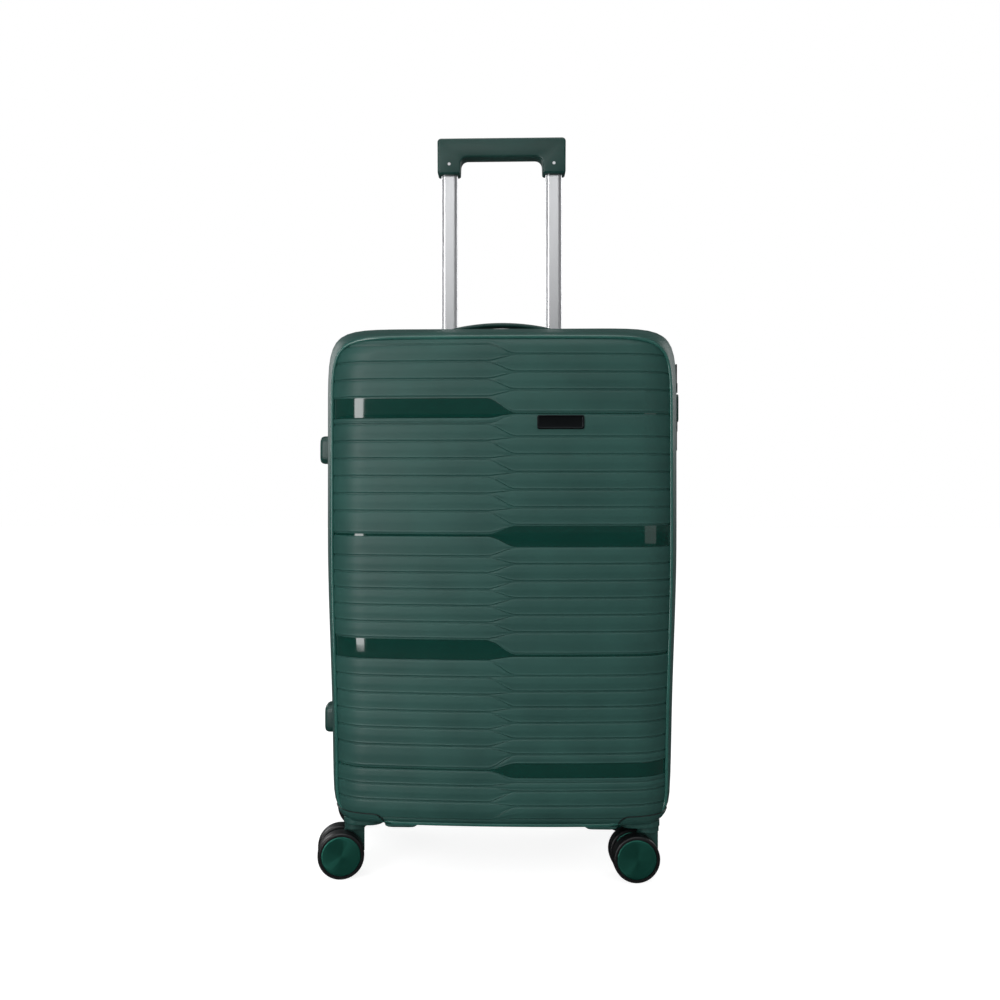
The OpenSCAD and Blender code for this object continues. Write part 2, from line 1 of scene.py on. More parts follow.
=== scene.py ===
# %% [markdown]
# # Hard shell suitcase on wheels
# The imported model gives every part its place. This lesson gives each part its skin: moulded ribs, anodised tubes,
# woven lining. We work in metres, and write small sizes in millimetres with MM.
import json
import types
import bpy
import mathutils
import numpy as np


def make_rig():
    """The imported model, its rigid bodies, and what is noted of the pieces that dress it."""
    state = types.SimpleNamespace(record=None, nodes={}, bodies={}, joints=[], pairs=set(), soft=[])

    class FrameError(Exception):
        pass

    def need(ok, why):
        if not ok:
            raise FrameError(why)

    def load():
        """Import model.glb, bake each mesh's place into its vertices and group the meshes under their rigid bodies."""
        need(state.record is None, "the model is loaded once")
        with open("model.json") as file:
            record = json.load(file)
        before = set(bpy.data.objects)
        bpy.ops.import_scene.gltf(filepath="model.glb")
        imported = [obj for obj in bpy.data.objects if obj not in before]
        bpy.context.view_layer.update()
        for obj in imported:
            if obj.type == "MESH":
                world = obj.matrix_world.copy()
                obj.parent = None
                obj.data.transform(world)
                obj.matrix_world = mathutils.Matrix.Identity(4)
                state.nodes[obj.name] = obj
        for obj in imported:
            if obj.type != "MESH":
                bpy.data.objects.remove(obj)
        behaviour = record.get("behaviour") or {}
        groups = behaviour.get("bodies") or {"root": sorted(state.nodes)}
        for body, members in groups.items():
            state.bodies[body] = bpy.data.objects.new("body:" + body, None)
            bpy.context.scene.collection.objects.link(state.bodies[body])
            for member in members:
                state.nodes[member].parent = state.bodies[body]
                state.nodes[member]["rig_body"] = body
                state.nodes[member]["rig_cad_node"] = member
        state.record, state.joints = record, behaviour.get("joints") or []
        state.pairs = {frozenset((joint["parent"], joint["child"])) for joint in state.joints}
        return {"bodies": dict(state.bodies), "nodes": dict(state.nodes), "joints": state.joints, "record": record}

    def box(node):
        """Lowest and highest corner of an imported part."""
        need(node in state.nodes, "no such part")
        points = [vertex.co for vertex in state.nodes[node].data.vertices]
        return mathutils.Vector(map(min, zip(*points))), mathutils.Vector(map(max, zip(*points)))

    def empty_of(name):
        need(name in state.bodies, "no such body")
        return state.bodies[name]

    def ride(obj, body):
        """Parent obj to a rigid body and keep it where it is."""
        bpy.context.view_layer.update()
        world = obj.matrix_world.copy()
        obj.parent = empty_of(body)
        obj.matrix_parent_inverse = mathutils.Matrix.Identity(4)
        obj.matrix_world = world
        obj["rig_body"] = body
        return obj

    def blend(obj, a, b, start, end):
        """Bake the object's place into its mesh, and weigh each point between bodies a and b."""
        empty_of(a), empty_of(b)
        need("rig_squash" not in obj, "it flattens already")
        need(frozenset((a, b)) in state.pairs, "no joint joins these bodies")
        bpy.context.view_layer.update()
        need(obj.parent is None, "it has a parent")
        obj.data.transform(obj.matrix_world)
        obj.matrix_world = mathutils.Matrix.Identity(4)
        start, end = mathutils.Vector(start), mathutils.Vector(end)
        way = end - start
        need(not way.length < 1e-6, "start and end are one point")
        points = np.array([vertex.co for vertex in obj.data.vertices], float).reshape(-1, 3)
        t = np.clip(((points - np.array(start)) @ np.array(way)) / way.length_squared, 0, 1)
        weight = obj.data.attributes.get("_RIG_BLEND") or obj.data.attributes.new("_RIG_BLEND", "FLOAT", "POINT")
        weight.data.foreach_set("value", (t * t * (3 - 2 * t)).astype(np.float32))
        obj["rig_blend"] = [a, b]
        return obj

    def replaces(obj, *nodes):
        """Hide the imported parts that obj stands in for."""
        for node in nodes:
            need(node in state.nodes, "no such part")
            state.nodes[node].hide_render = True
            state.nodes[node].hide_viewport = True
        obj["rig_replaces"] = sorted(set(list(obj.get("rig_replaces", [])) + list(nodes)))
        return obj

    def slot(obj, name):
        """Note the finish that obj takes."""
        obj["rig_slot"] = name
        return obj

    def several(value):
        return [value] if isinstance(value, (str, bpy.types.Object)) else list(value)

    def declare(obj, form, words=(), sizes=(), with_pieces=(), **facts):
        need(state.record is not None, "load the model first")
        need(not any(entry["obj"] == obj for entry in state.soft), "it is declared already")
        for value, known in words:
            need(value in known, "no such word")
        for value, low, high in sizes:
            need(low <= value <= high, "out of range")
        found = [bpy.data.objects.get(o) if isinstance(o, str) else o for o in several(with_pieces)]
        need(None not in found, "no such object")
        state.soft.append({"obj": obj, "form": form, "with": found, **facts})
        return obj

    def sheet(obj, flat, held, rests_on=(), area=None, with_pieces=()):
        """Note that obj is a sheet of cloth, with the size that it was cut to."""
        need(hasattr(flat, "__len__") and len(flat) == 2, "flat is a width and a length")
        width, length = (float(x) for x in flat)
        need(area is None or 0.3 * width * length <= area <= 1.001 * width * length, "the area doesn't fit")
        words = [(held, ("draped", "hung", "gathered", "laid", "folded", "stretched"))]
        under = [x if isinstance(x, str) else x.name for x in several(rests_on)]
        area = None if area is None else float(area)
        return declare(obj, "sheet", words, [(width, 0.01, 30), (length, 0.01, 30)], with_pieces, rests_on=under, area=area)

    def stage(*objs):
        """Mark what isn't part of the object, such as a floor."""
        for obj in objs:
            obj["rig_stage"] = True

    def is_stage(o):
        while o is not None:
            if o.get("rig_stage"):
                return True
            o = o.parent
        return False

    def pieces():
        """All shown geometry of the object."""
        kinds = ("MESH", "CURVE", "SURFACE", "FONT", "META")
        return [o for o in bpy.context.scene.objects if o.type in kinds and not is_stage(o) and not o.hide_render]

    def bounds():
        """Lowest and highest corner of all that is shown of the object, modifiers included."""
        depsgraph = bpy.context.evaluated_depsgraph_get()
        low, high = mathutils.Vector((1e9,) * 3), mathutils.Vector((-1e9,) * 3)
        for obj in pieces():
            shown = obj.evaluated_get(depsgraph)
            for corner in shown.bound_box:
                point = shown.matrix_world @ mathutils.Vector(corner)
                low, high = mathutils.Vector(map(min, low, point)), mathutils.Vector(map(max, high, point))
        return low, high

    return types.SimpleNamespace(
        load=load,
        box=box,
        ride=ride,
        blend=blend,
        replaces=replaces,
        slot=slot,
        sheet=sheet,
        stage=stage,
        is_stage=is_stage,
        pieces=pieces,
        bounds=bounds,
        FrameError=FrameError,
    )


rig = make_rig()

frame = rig.load()
cad_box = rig.bounds()

import json
import math

import bmesh
import bpy
from mathutils import Matrix, Vector, noise
from mathutils.bvhtree import BVHTree

MM = 0.001
print("frame:", len(frame["nodes"]), "nodes on", len(frame["bodies"]), "bodies")

# %% [markdown]
# ## Camera
# A long-ish lens at the height of the case's upper half, a little left of the middle and turned slightly to the left.
# Nothing is tilted, so upright edges stay upright; a small shift centres the case instead.

# %% Camera
EYE = Vector((6.3, -1334.8, 484.6)) * MM
camera_data = bpy.data.cameras.new("camera")
camera_data.lens = 37.72
camera_data.sensor_width = 36
camera_data.shift_x = 0.0302
camera_data.shift_y = -0.0351
camera = bpy.data.objects.new("camera", camera_data)
camera.location = EYE
camera.rotation_euler = (math.radians(90.12), 0, 0.0347)
bpy.context.collection.objects.link(camera)
bpy.context.scene.camera = camera
print("camera", [round(v, 3) for v in camera.location], "lens", camera_data.lens)

# %% [markdown]
# ## Floor and light
# A pale sweep of paper and a white surrounding, lit by five soft boxes and a wide sun. The tall narrow box on the left
# draws the upright reflection in the glossy bands, and a weak one fills the right. A broad one stands far in front and
# above, two stand behind the case, and the sun overhead lights the upward faces.

# %% Floor and light
def linear(hex_colour):
    """Turns an sRGB hex colour into the linear one that a shader takes."""
    parts = [int(hex_colour[i:i + 2], 16) / 255 for i in (1, 3, 5)]
    return tuple(p / 12.92 if p <= 0.04045 else ((p + 0.055) / 1.055) ** 2.4 for p in parts) + (1.0,)


def add(tree, kind, inputs={}, **settings):
    """Adds a node. Settings are its attributes; inputs are values, or the sockets that are linked in."""
    new = tree.nodes.new("ShaderNode" + kind)
    for name, value in settings.items():
        setattr(new, name, value)
    for name, value in inputs.items():
        if isinstance(value, bpy.types.NodeSocket):
            tree.links.new(value, new.inputs[name])
        else:
            new.inputs[name].default_value = value
    return new


def two_tones(tree, share, low, high, start=0.0, end=1.0):
    """A colour that goes from low to high, two hex colours, while share goes from start to end."""
    ramp = add(tree, "ValToRGB", {"Fac": share})
    for stop, place, colour in zip(ramp.color_ramp.elements, (start, end), (low, high)):
        stop.position, stop.color = place, linear(colour)
    return ramp.outputs[0]


def new_material(name):
    """A new material with an empty node tree, and that tree."""
    material = bpy.data.materials.new(name)
    material.use_nodes = True
    material.node_tree.nodes.clear()
    return material, material.node_tree


def soft_box(name, place, target, width, height, watts):
    """Hangs one rectangular light at a place and points it at a target."""
    data = bpy.data.lights.new(name, "AREA")
    data.shape = "RECTANGLE"
    data.size, data.size_y, data.energy = width, height, watts
    light = bpy.data.objects.new(name, data)
    light.location = place
    light.rotation_euler = (Vector(target) - Vector(place)).to_track_quat("-Z", "Y").to_euler()
    bpy.context.collection.objects.link(light)


soft_box("left_window", (-0.98, -1.36, 0.62), (-0.1, -0.13, 0.42), 0.58, 1.5, 13.5)
soft_box("right_fill", (1.35, -1.15, 0.7), (0.1, -0.13, 0.4), 0.9, 1.3, 1.5)
soft_box("front_top", (0.0, -3.0, 1.9), (0, 0, 0.8), 2.6, 1.1, 12)
soft_box("behind_left", (-1.9, 1.5, 1.2), (0, 0.1, 0.4), 1.2, 1.4, 16)
soft_box("behind_right", (1.9, 1.5, 1.2), (0, 0.1, 0.4), 1.2, 1.4, 12)
above = bpy.data.lights.new("above", "SUN")
above.energy, above.angle = 1.25, math.radians(60)
above_light = bpy.data.objects.new("above", above)
above_light.rotation_euler = (math.radians(14), 0, 0)
bpy.context.collection.objects.link(above_light)

bpy.context.scene.view_settings.view_transform = "Standard"
world = bpy.data.worlds.new("studio")
bpy.context.scene.world = world
world.use_nodes = True
world.node_tree.nodes.clear()
seen = add(world.node_tree, "LightPath").outputs["Is Camera Ray"]
room = add(world.node_tree, "Background", {"Color": linear("#dfe4e6"), "Strength": 0.11})
backdrop = add(world.node_tree, "Background", {"Color": linear("#ffffff"), "Strength": 1.0})
either = add(world.node_tree, "MixShader", {0: seen, 1: room.outputs[0], 2: backdrop.outputs[0]})
add(world.node_tree, "OutputWorld", {"Surface": either.outputs[0]})

paper, tree = new_material("white_paper")
grain = add(tree, "TexNoise", {"Scale": 60.0, "Detail": 3.0})
tone = two_tones(tree, grain.outputs["Fac"], "#a6a6a6", "#acacac")
lit = add(tree, "BsdfPrincipled", {"Base Color": tone, "Roughness": 0.9,
                                   "Emission Color": linear("#ffffff"), "Emission Strength": 0.88})
path = add(tree, "LightPath")
# Light that bounces off the floor sees a plain pale one, and glossy plastic mirrors a darker one
bounce = add(tree, "MixRGB", {"Fac": path.outputs["Is Glossy Ray"],
                              "Color1": linear("#e4e4e4"), "Color2": linear("#4c4c4c")})
dim = add(tree, "BsdfDiffuse", {"Color": bounce.outputs[0]})
seen = path.outputs["Is Camera Ray"]
either = add(tree, "MixShader", {0: seen, 1: dim.outputs[0], 2: lit.outputs[0]})
add(tree, "OutputMaterial", {"Surface": either.outputs[0]})

bpy.ops.mesh.primitive_plane_add(size=14, location=(0, 0, -0.0005))
floor = bpy.context.object
floor.name = "floor"
floor.data.materials.append(paper)
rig.stage(floor)
print("lights:", [o.name for o in bpy.data.objects if o.type == "LIGHT"])

# %% [markdown]
# ## Moulded plastic
# Shells, housings, forks and grip are injection moulded. The tool's etched surface leaves a fine matte grain of about
# 0.5 mm, drawn here at 1.2 mm so that it shows, and the colour drifts very slightly with the flow of the melt.
# The IOR of polypropylene is 1.49 and of ABS 1.54. The same recipe with less grain and roughness is polished plastic;
# the polished bands take a darker green as painted shade, and the bead a lighter one as a painted highlight.

# %% Moulded plastic
def moulded(name, light, dark, roughness, ior=1.49, grain_mm=1.2, grain_depth=0.04, coat=0.0, spread=0.06,
            turned=False):
    """Moulded plastic: two near tones, a grain of the given size and a gloss that varies by spread."""
    material, tree = new_material(name)
    place = add(tree, "TexCoord").outputs["Object"]
    flow = add(tree, "TexNoise", {"Vector": place, "Scale": 1 / (60 * MM), "Detail": 2.0})
    colour = two_tones(tree, flow.outputs["Fac"], dark, light, 0.3, 0.7)
    grain = add(tree, "TexNoise", {"Vector": place, "Scale": 1 / (grain_mm * MM), "Detail": 4.0, "Roughness": 0.6})
    gloss = add(tree, "MapRange", {"Value": flow.outputs["Fac"], "From Min": 0.3, "From Max": 0.7,
                                   "To Min": roughness - spread / 2, "To Max": roughness + spread / 2})
    bump = add(tree, "Bump", {"Height": grain.outputs["Fac"], "Strength": grain_depth * 6,
                              "Distance": grain_depth * MM})
    shader = add(tree, "BsdfPrincipled", {"Base Color": colour, "Roughness": gloss.outputs[0],
                                          "Normal": bump.outputs[0], "IOR": ior})
    if coat:
        shader.inputs["Coat Weight"].default_value = coat
        shader.inputs["Coat Roughness"].default_value = 0.06
    if turned:
        shader.inputs["Metallic"].default_value = 0.8
        shader.inputs["Anisotropic"].default_value = 0.85
        tangent = add(tree, "Tangent", direction_type="RADIAL", axis="Z")
        tree.links.new(tangent.outputs[0], shader.inputs["Tangent"])
    add(tree, "OutputMaterial", {"Surface": shader.outputs[0]})
    return material


matte_shell = moulded("matte_polypropylene_shell", "#24524b", "#204a44", 0.5)
# The glossy bands are the shell's own polypropylene; their much darker green is painted shade for the dark surroundings
# that the polish mirrors.
gloss_band_painted_shade = moulded("polished_polypropylene_band", "#063830", "#05342c", 0.1, grain_depth=0.004, coat=1.0,
                      spread=0.02)
satin_green = moulded("satin_green_abs", "#15423c", "#123b35", 0.4, ior=1.54)
gloss_green = moulded("turned_green_cap", "#2c7566", "#256557", 0.34, ior=1.54, grain_depth=0.005, turned=True)
# The bead is the shell's own polypropylene; besides its real semi-gloss, its lighter green is a painted highlight for
# the bright line along its edge.
bead_painted_highlight = moulded("semi_gloss_polypropylene_bead", "#2c6158", "#275850", 0.24, grain_depth=0.01, coat=0.5)
black_abs = moulded("black_abs", "#1c1d1e", "#151617", 0.42, ior=1.54)
tyre_rubber = moulded("black_polyurethane_tyre", "#17181a", "#101112", 0.4, ior=1.5, grain_mm=2.0)
print("plastics:", matte_shell.name, gloss_band_painted_shade.name, satin_green.name)

# %% [markdown]
# ## Metals
# Tubes are extruded aluminium, drawn and anodised: fine lines run along the tube and blur its reflections in one
# direction. Rivets, axles and shaft are turned steel, zinc plated. A metal keeps the default IOR.

# %% Metals
def drawn_metal(name, colour, roughness, line_mm, stretch, depth=0.02):
    """Bare or anodised metal with fine lines; stretch gives how long the lines are along X, Y and Z."""
    material, tree = new_material(name)
    place = add(tree, "TexCoord").outputs["Object"]
    drawn = add(tree, "Mapping", {"Vector": place, "Scale": tuple(1 / s for s in stretch)})
    lines = add(tree, "TexNoise", {"Vector": drawn.outputs[0], "Scale": 1 / (line_mm * MM), "Detail": 3.0})
    gloss = add(tree, "MapRange", {"Value": lines.outputs["Fac"],
                                   "To Min": roughness - 0.08, "To Max": roughness + 0.08})
    tone = add(tree, "MixRGB", {"Fac": lines.outputs["Fac"], "Color1": linear(colour),
                                "Color2": tuple(0.9 * c for c in linear(colour)[:3]) + (1,)})
    bump = add(tree, "Bump", {"Height": lines.outputs["Fac"], "Strength": 0.25, "Distance": depth * MM})
    shader = add(tree, "BsdfPrincipled", {"Base Color": tone.outputs[0], "Metallic": 1.0,
                                          "Roughness": gloss.outputs[0], "Normal": bump.outputs[0]})
    add(tree, "OutputMaterial", {"Surface": shader.outputs[0]})
    return material


anodised = drawn_metal("anodised_aluminium_tube", "#e3e4e6", 0.34, 0.5, (1, 1, 80))
zinc_steel = drawn_metal("zinc_plated_steel", "#c9cbcd", 0.3, 0.4, (1, 1, 1))
dark_chrome = drawn_metal("dark_chromed_zinc", "#55585c", 0.22, 0.6, (1, 1, 3))
dark_plate = drawn_metal("dark_anodised_plate", "#26292b", 0.38, 0.4, (40, 1, 1))
print("metals:", anodised.name, zinc_steel.name, dark_chrome.name)

# %% [markdown]
# ## Cloth
# Lining is plain woven polyester with threads 0.4 mm apart, drawn at 1.5 mm so that the weave shows. Webbing and zip
# tape are heavier weaves. Crossed sine waves, one for warp and one for weft, lift each thread in turn.

# %% Cloth
def woven(name, light, dark, thread_mm, axes=("X", "Z"), lift_mm=0.25, net=False):
    """Plain weave of two tones, with threads across two axes of the object; a net is open between its threads."""
    material, tree = new_material(name)
    place = add(tree, "TexCoord").outputs["Object"]
    waves = [add(tree, "TexWave", {"Vector": place, "Scale": math.pi / (10 * thread_mm * MM), "Distortion": 0.6,
                                   "Detail": 1.0, "Detail Scale": 0.4}, bands_direction=a).outputs["Fac"] for a in axes]
    weave = add(tree, "Math", {0: waves[0], 1: waves[1]}, operation="MAXIMUM")
    cloud = add(tree, "TexNoise", {"Vector": place, "Scale": 1 / (35 * MM), "Detail": 3.0})
    shade = add(tree, "Math", {0: weave.outputs[0], 1: cloud.outputs["Fac"]}, operation="MULTIPLY")
    colour = two_tones(tree, shade.outputs[0], dark, light, 0.0, 0.6)
    bump = add(tree, "Bump", {"Height": weave.outputs[0], "Strength": 0.5, "Distance": lift_mm * MM})
    shader = add(tree, "BsdfPrincipled", {"Base Color": colour, "Roughness": 0.85,
                                          "Normal": bump.outputs[0], "Sheen Weight": 0.25})
    if net:
        holes = add(tree, "Math", {0: weave.outputs[0], 1: 0.62}, operation="GREATER_THAN")
        tree.links.new(holes.outputs[0], shader.inputs["Alpha"])
    add(tree, "OutputMaterial", {"Surface": shader.outputs[0]})
    return material


lining_cloth = woven("woven_polyester_lining", "#868d89", "#4d5451", 1.5)
net_cloth = woven("knitted_net", "#3b3e3e", "#0b0c0c", 3.0, axes=("DIAGONAL", "Z"), lift_mm=0.5, net=True)
webbing = woven("polyester_webbing", "#2b2d2e", "#101112", 1.2)
zip_cloth = woven("zip_tape_weave", "#22302d", "#0e1513", 1.0, axes=("Y", "Z"))
print("cloths:", lining_cloth.name, net_cloth.name, webbing.name, zip_cloth.name)

# %% [markdown]
# ## Mesh helpers
# Most pieces are one of three makings: a net of rows, a section swept along a path, or a profile turned on a lathe.

# %% Mesh helpers
def make_piece(name, shape, materials, body, slot, replaced=(), sharp=32, recalculate=True, place=None):
    """Makes a smooth-shaded mesh object of (points, faces), gives it its finish and hangs it on its body, if any."""
    points, faces = shape
    mesh = bpy.data.meshes.new(name)
    mesh.from_pydata([tuple(p) for p in points], [], faces)
    mesh.update()
    if recalculate:
        b = bmesh.new()
        b.from_mesh(mesh)
        bmesh.ops.remove_doubles(b, verts=b.verts, dist=0.01 * MM)
        bmesh.ops.recalc_face_normals(b, faces=b.faces)
        b.to_mesh(mesh)
        b.free()
    mesh.polygons.foreach_set("use_smooth", [True] * len(mesh.polygons))
    mesh.set_sharp_from_angle(angle=math.radians(sharp))
    piece = bpy.data.objects.new(name, mesh)
    for material in materials if isinstance(materials, (list, tuple)) else [materials]:
        mesh.materials.append(material)
    bpy.context.collection.objects.link(piece)
    if place:
        piece.matrix_world = place
    if body:
        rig.ride(piece, body)
    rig.slot(piece, slot)
    if replaced:
        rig.replaces(piece, *replaced)
    return piece


def body_of(node):
    """The body that a frame node rides on."""
    return next(name for name, empty in frame["bodies"].items() if empty == frame["nodes"][node].parent)


def net_faces(rows, columns, first=0, closed=False):
    """Faces between rows of points; closed joins each row's last point to its first."""
    last = columns if closed else columns - 1
    return [(first + r * columns + c, first + r * columns + (c + 1) % columns,
             first + (r + 1) * columns + (c + 1) % columns, first + (r + 1) * columns + c)
            for r in range(rows - 1) for c in range(last)]


def sweep(path, section, closed=False, up=Vector((0, 1, 0))):
    """Sweeps a section of (across, out) offsets along a path; section may be a list or a function of the index."""
    points, count = [], len(path)
    for i, p in enumerate(path):
        before = path[i - 1] if closed or i else p
        after = path[(i + 1) % count] if closed or i < count - 1 else p
        along = (after - before).normalized()
        across = along.cross(up).normalized()
        out = across.cross(along)
        offsets = section(i) if callable(section) else section
        points += [p + across * a + out * b for a, b in offsets]
    n = len(offsets)
    faces = net_faces(count, n, closed=True)
    if closed:
        faces += [((count - 1) * n + c, (count - 1) * n + (c + 1) % n, (c + 1) % n, c) for c in range(n)]
    else:
        faces += [tuple(range(n)), tuple((count - 1) * n + c for c in range(n))]
    return points, faces


def loft(rings, capped=True):
    """Points and faces between closed rings of equal length, with a cap at each end."""
    count = len(rings[0])
    faces = net_faces(len(rings), count, closed=True)
    if capped:
        faces += [tuple(range(count)), tuple((len(rings) - 1) * count + c for c in range(count))]
    return [p for one in rings for p in one], faces


def lathe(profile, steps=80):
    """Turns a closed profile of (radius, along), in millimetres, round Z."""
    points = [Vector((r * math.cos(math.tau * k / steps), r * math.sin(math.tau * k / steps), z)) * MM
              for k in range(steps + 1) for r, z in profile]
    return points, net_faces(steps + 1, len(profile), closed=True)


def arc(cx, cz, r, start, end, steps=6):
    """Points of an arc round (cx, cz), its angles in degrees."""
    turns = [math.radians(start + (end - start) * k / steps) for k in range(steps + 1)]
    return [(cx + r * math.cos(a), cz + r * math.sin(a)) for a in turns]


def oval(wide, high, steps):
    """Section of a round bead, from half its width and half its height in millimetres."""
    turns = [math.radians(360 / steps * k) for k in range(steps)]
    return [(wide * MM * math.cos(a), high * MM * math.sin(a)) for a in turns]


def rounded(width, height, radius, steps=4):
    """Points of a rounded rectangle, round its centre."""
    radius = min(radius, width / 2, height / 2)
    points = []
    for quarter, (sx, sy) in enumerate(((1, 1), (-1, 1), (-1, -1), (1, -1))):
        points += arc(sx * (width / 2 - radius), sy * (height / 2 - radius), radius, 90 * quarter, 90 * quarter + 90,
                      steps)
    return points


def stepped(levels, width, height, radius, sharper, steps, place):
    """A block in levels of (how far its outline is drawn in, how far out it stands); place(a, b, out) is a point."""
    return loft([[place(a, b, out * MM) for a, b in rounded(width - 2 * i * MM, height - 2 * i * MM,
                                                            (radius - sharper * i) * MM, steps)]
                 for i, out in levels])


def smooth(t):
    """Rises softly from 0 to 1."""
    t = min(1.0, max(0.0, t))
    return t * t * (3 - 2 * t)


print("helpers ready; a rounded square has", len(rounded(1, 1, 0.2)), "points")

# %% [markdown]
# ## The shell's form
# Each shell is a deep tray pressed from sheet: walls lean in by 22 mm so that it leaves the tool, the upright edges
# have a 40 mm radius, and the face swells by 16 mm towards its middle. We write that form as rings of a squarish
# outline, one for each depth, taken from the frame's own boxes.

# %% The shell's form
shell_low, shell_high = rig.box("front_shell")
RIM, DEEP = -shell_high[1], -shell_low[1]
LEAN, SIDE_R, TOP_R, FOOT_R, CROWN = 22 * MM, 40 * MM, 18 * MM, 25 * MM, 16 * MM
HALF_W = shell_high[0] + LEAN * RIM / DEEP
FOOT = shell_low[2]
TOP = shell_high[2] + LEAN * RIM / DEEP
TALL = TOP - FOOT
CORNER_N, FOOT_N = 11, 17  # the higher it is, the squarer the corner
CORNER_TURNS = [45 + 15 * math.copysign(abs(i / 7) ** 1.4, i) for i in range(-7, 8)]
SIDE_RUN = [-1 + (i + 1) / 12 for i in range(23)]
END_RUN = [1 - (i + 1) / 12 for i in range(23)]


def narrow(z):
    """The case narrows by 3% towards its foot."""
    return 1 - 0.03 * smooth((FOOT + 0.56 * TALL - z) / (0.47 * TALL))


def squircle(degrees, n):
    """A point of the curve |x|^n + |z|^n = 1."""
    c, s = math.cos(math.radians(degrees)), math.sin(math.radians(degrees))
    r = (abs(c) ** n + abs(s) ** n) ** (-1 / n)
    return r * c, r * s


def unit_outline(n_foot):
    """Square outline with soft corners, as (x, z, place on the side from -1 at the foot to 1 at the top)."""
    points = []
    for quarter, up in ((-1, -1), (0, 1), (1, 1), (2, -1)):
        n = CORNER_N if up > 0 else n_foot
        points += [squircle(90 * quarter + t, n) + (up,) for t in CORNER_TURNS]
        edge = squircle(30, n)
        if quarter in (-1, 1):
            points += [(-quarter * edge[0], edge[1] * -quarter * w, -quarter * w) for w in SIDE_RUN]
        else:
            side = 1 if quarter == 0 else -1
            points += [(side * edge[1] * w, edge[0] * side, side) for w in END_RUN]
    return points


def ring(width, low, high, depth, share=1.0):
    """One ring of the tray, share of the way from the face's middle."""
    mid, tall = (low + high) / 2, (high - low) / 2
    part = min(width, tall)
    points = []
    for vx, vz, s in unit_outline(CORNER_N + 8 * depth / DEEP):
        z = mid + share * ((tall - part) * s + part * vz)
        x = share * width * vx * narrow(z)
        points.append(Vector((x, -depth + CROWN * (x / HALF_W * depth / DEEP) ** 2, z)))
    return points


def wall_in(depth, lean, radius, deep):
    """How far a wall has moved inwards at a depth, by its lean and by the rounding of the tray's edge."""
    u = min(radius, max(0.0, depth - deep + radius))
    return lean * depth / DEEP + radius - math.sqrt(radius * radius - u * u)


def tray_ring(depth, inset=0.0, share=1.0, deep=None):
    """The ring of a tray that lies inset inside the shell's outer face."""
    deep = deep or DEEP - inset
    return ring(HALF_W - inset - wall_in(depth, LEAN, SIDE_R - inset, deep),
                FOOT + inset + wall_in(depth, 0.0, FOOT_R - inset, deep),
                TOP - inset - wall_in(depth, LEAN, max(4 * MM, TOP_R - inset), deep), depth, share)


COLUMNS = len(unit_outline(CORNER_N))


def tray(depths, shares, inset=0.0, deep=None):
    """Points and faces of a whole tray: rings down the wall and over the edge, then across the face."""
    deep = deep or DEEP - inset
    rings = [tray_ring(d, inset, 1.0, deep) for d in depths] + [tray_ring(deep, inset, s, deep) for s in shares]
    points = [p for one in rings for p in one]
    faces = net_faces(len(rings), COLUMNS, closed=True)
    first = (len(rings) - 1) * COLUMNS
    points.append(Vector((0, -deep, (FOOT + TOP) / 2)))
    faces += [(first + c, first + (c + 1) % COLUMNS, len(points) - 1) for c in range(COLUMNS)]
    return points, faces


def edge_depths(deep, radius, steps):
    """Depths of the rings that round a tray's edge."""
    return [deep - radius + radius * math.sin(math.radians(90 * k / steps)) for k in range(steps + 1)]


form_points, form_faces = tray([RIM] + edge_depths(DEEP, SIDE_R, 60), [1 - k / 24 for k in range(1, 24)])
form = BVHTree.FromPolygons(form_points, form_faces)


def on_form(x, z):
    """The place on the shell's form in front of (x, z), and the direction out of it."""
    hit, out, _, _ = form.ray_cast(Vector((x, -1, z)), Vector((0, 1, 0)))
    if hit is None:
        hit, out, _, _ = form.find_nearest(Vector((x, -DEEP * 0.9, z)))
    return hit, out if out.y < 0 else -out


print("shell form:", len(form_points), "points, case", round(2000 * HALF_W), "x", round(1000 * TALL), "mm")

# %% [markdown]
# ## Ribs and bands
# The face is stiffened by flat ribs with narrow grooves. Ribs from the left and ribs from the right meet in the
# middle like fingers: each groove of one side opens into a rib of the other. Four glossy bands, two on each side,
# taper there into a thin dark line. We list strips from top to bottom, each with its edges on the left and on the
# right, and draw the shell's face strip by strip, so that every groove has rows of its own.

# %% Ribs and bands
GROOVE = 1.5 * MM
THIN = 2.6 * MM
RELIEF = 1.5 * MM
# Each band's top and bottom edge, and the height of its thin line on the other side; the first band is on the left
BANDS = [(565.3, 541.1, 547.6), (417.7, 392.5, 408.0), (286.6, 262.5, 270.0), (144.6, 127.4, 138.0)]
LIP = 6.6  # the plain strip under the first band
LOW_LIP = 10.0  # and the one above the last
WIDER = 1.26  # how much wider the rib beside a thin line is
PANEL_TOP, PANEL_FOOT = 634.6, 71.0
PANEL_MIDDLE, PANEL_HALF = (PANEL_TOP + PANEL_FOOT) / 2 * MM, (PANEL_TOP - PANEL_FOOT) / 2 * MM


def rib_edges(top, foot, count, wide=None):
    """Edges of ribs between two heights; wide names the one rib beside a thin line that is wider."""
    widths = [WIDER if i == wide else 1.0 for i in range(count)]
    unit = (top - foot) / sum(widths)
    edges = [top]
    for w in widths:
        edges.append(edges[-1] - unit * w)
    return edges


def weave(left, right, first):
    """Strips of two sides in turn; each closes to a groove at the other side's edge between its own two."""
    half, strips = GROOVE / MM / 2, []
    for i in range(len(left) - 1):
        if first == "left":
            strips += [("rib", left[i] - half, left[i + 1] + half, right[i] + half, right[i] - half),
                       ("rib", left[i + 1] + half, left[i + 1] - half, right[i] - half, right[i + 1] + half)]
        else:
            strips += [("rib", left[i] + half, left[i] - half, right[i] - half, right[i + 1] + half),
                       ("rib", left[i] - half, left[i + 1] + half, right[i + 1] + half, right[i + 1] - half)]
    return strips


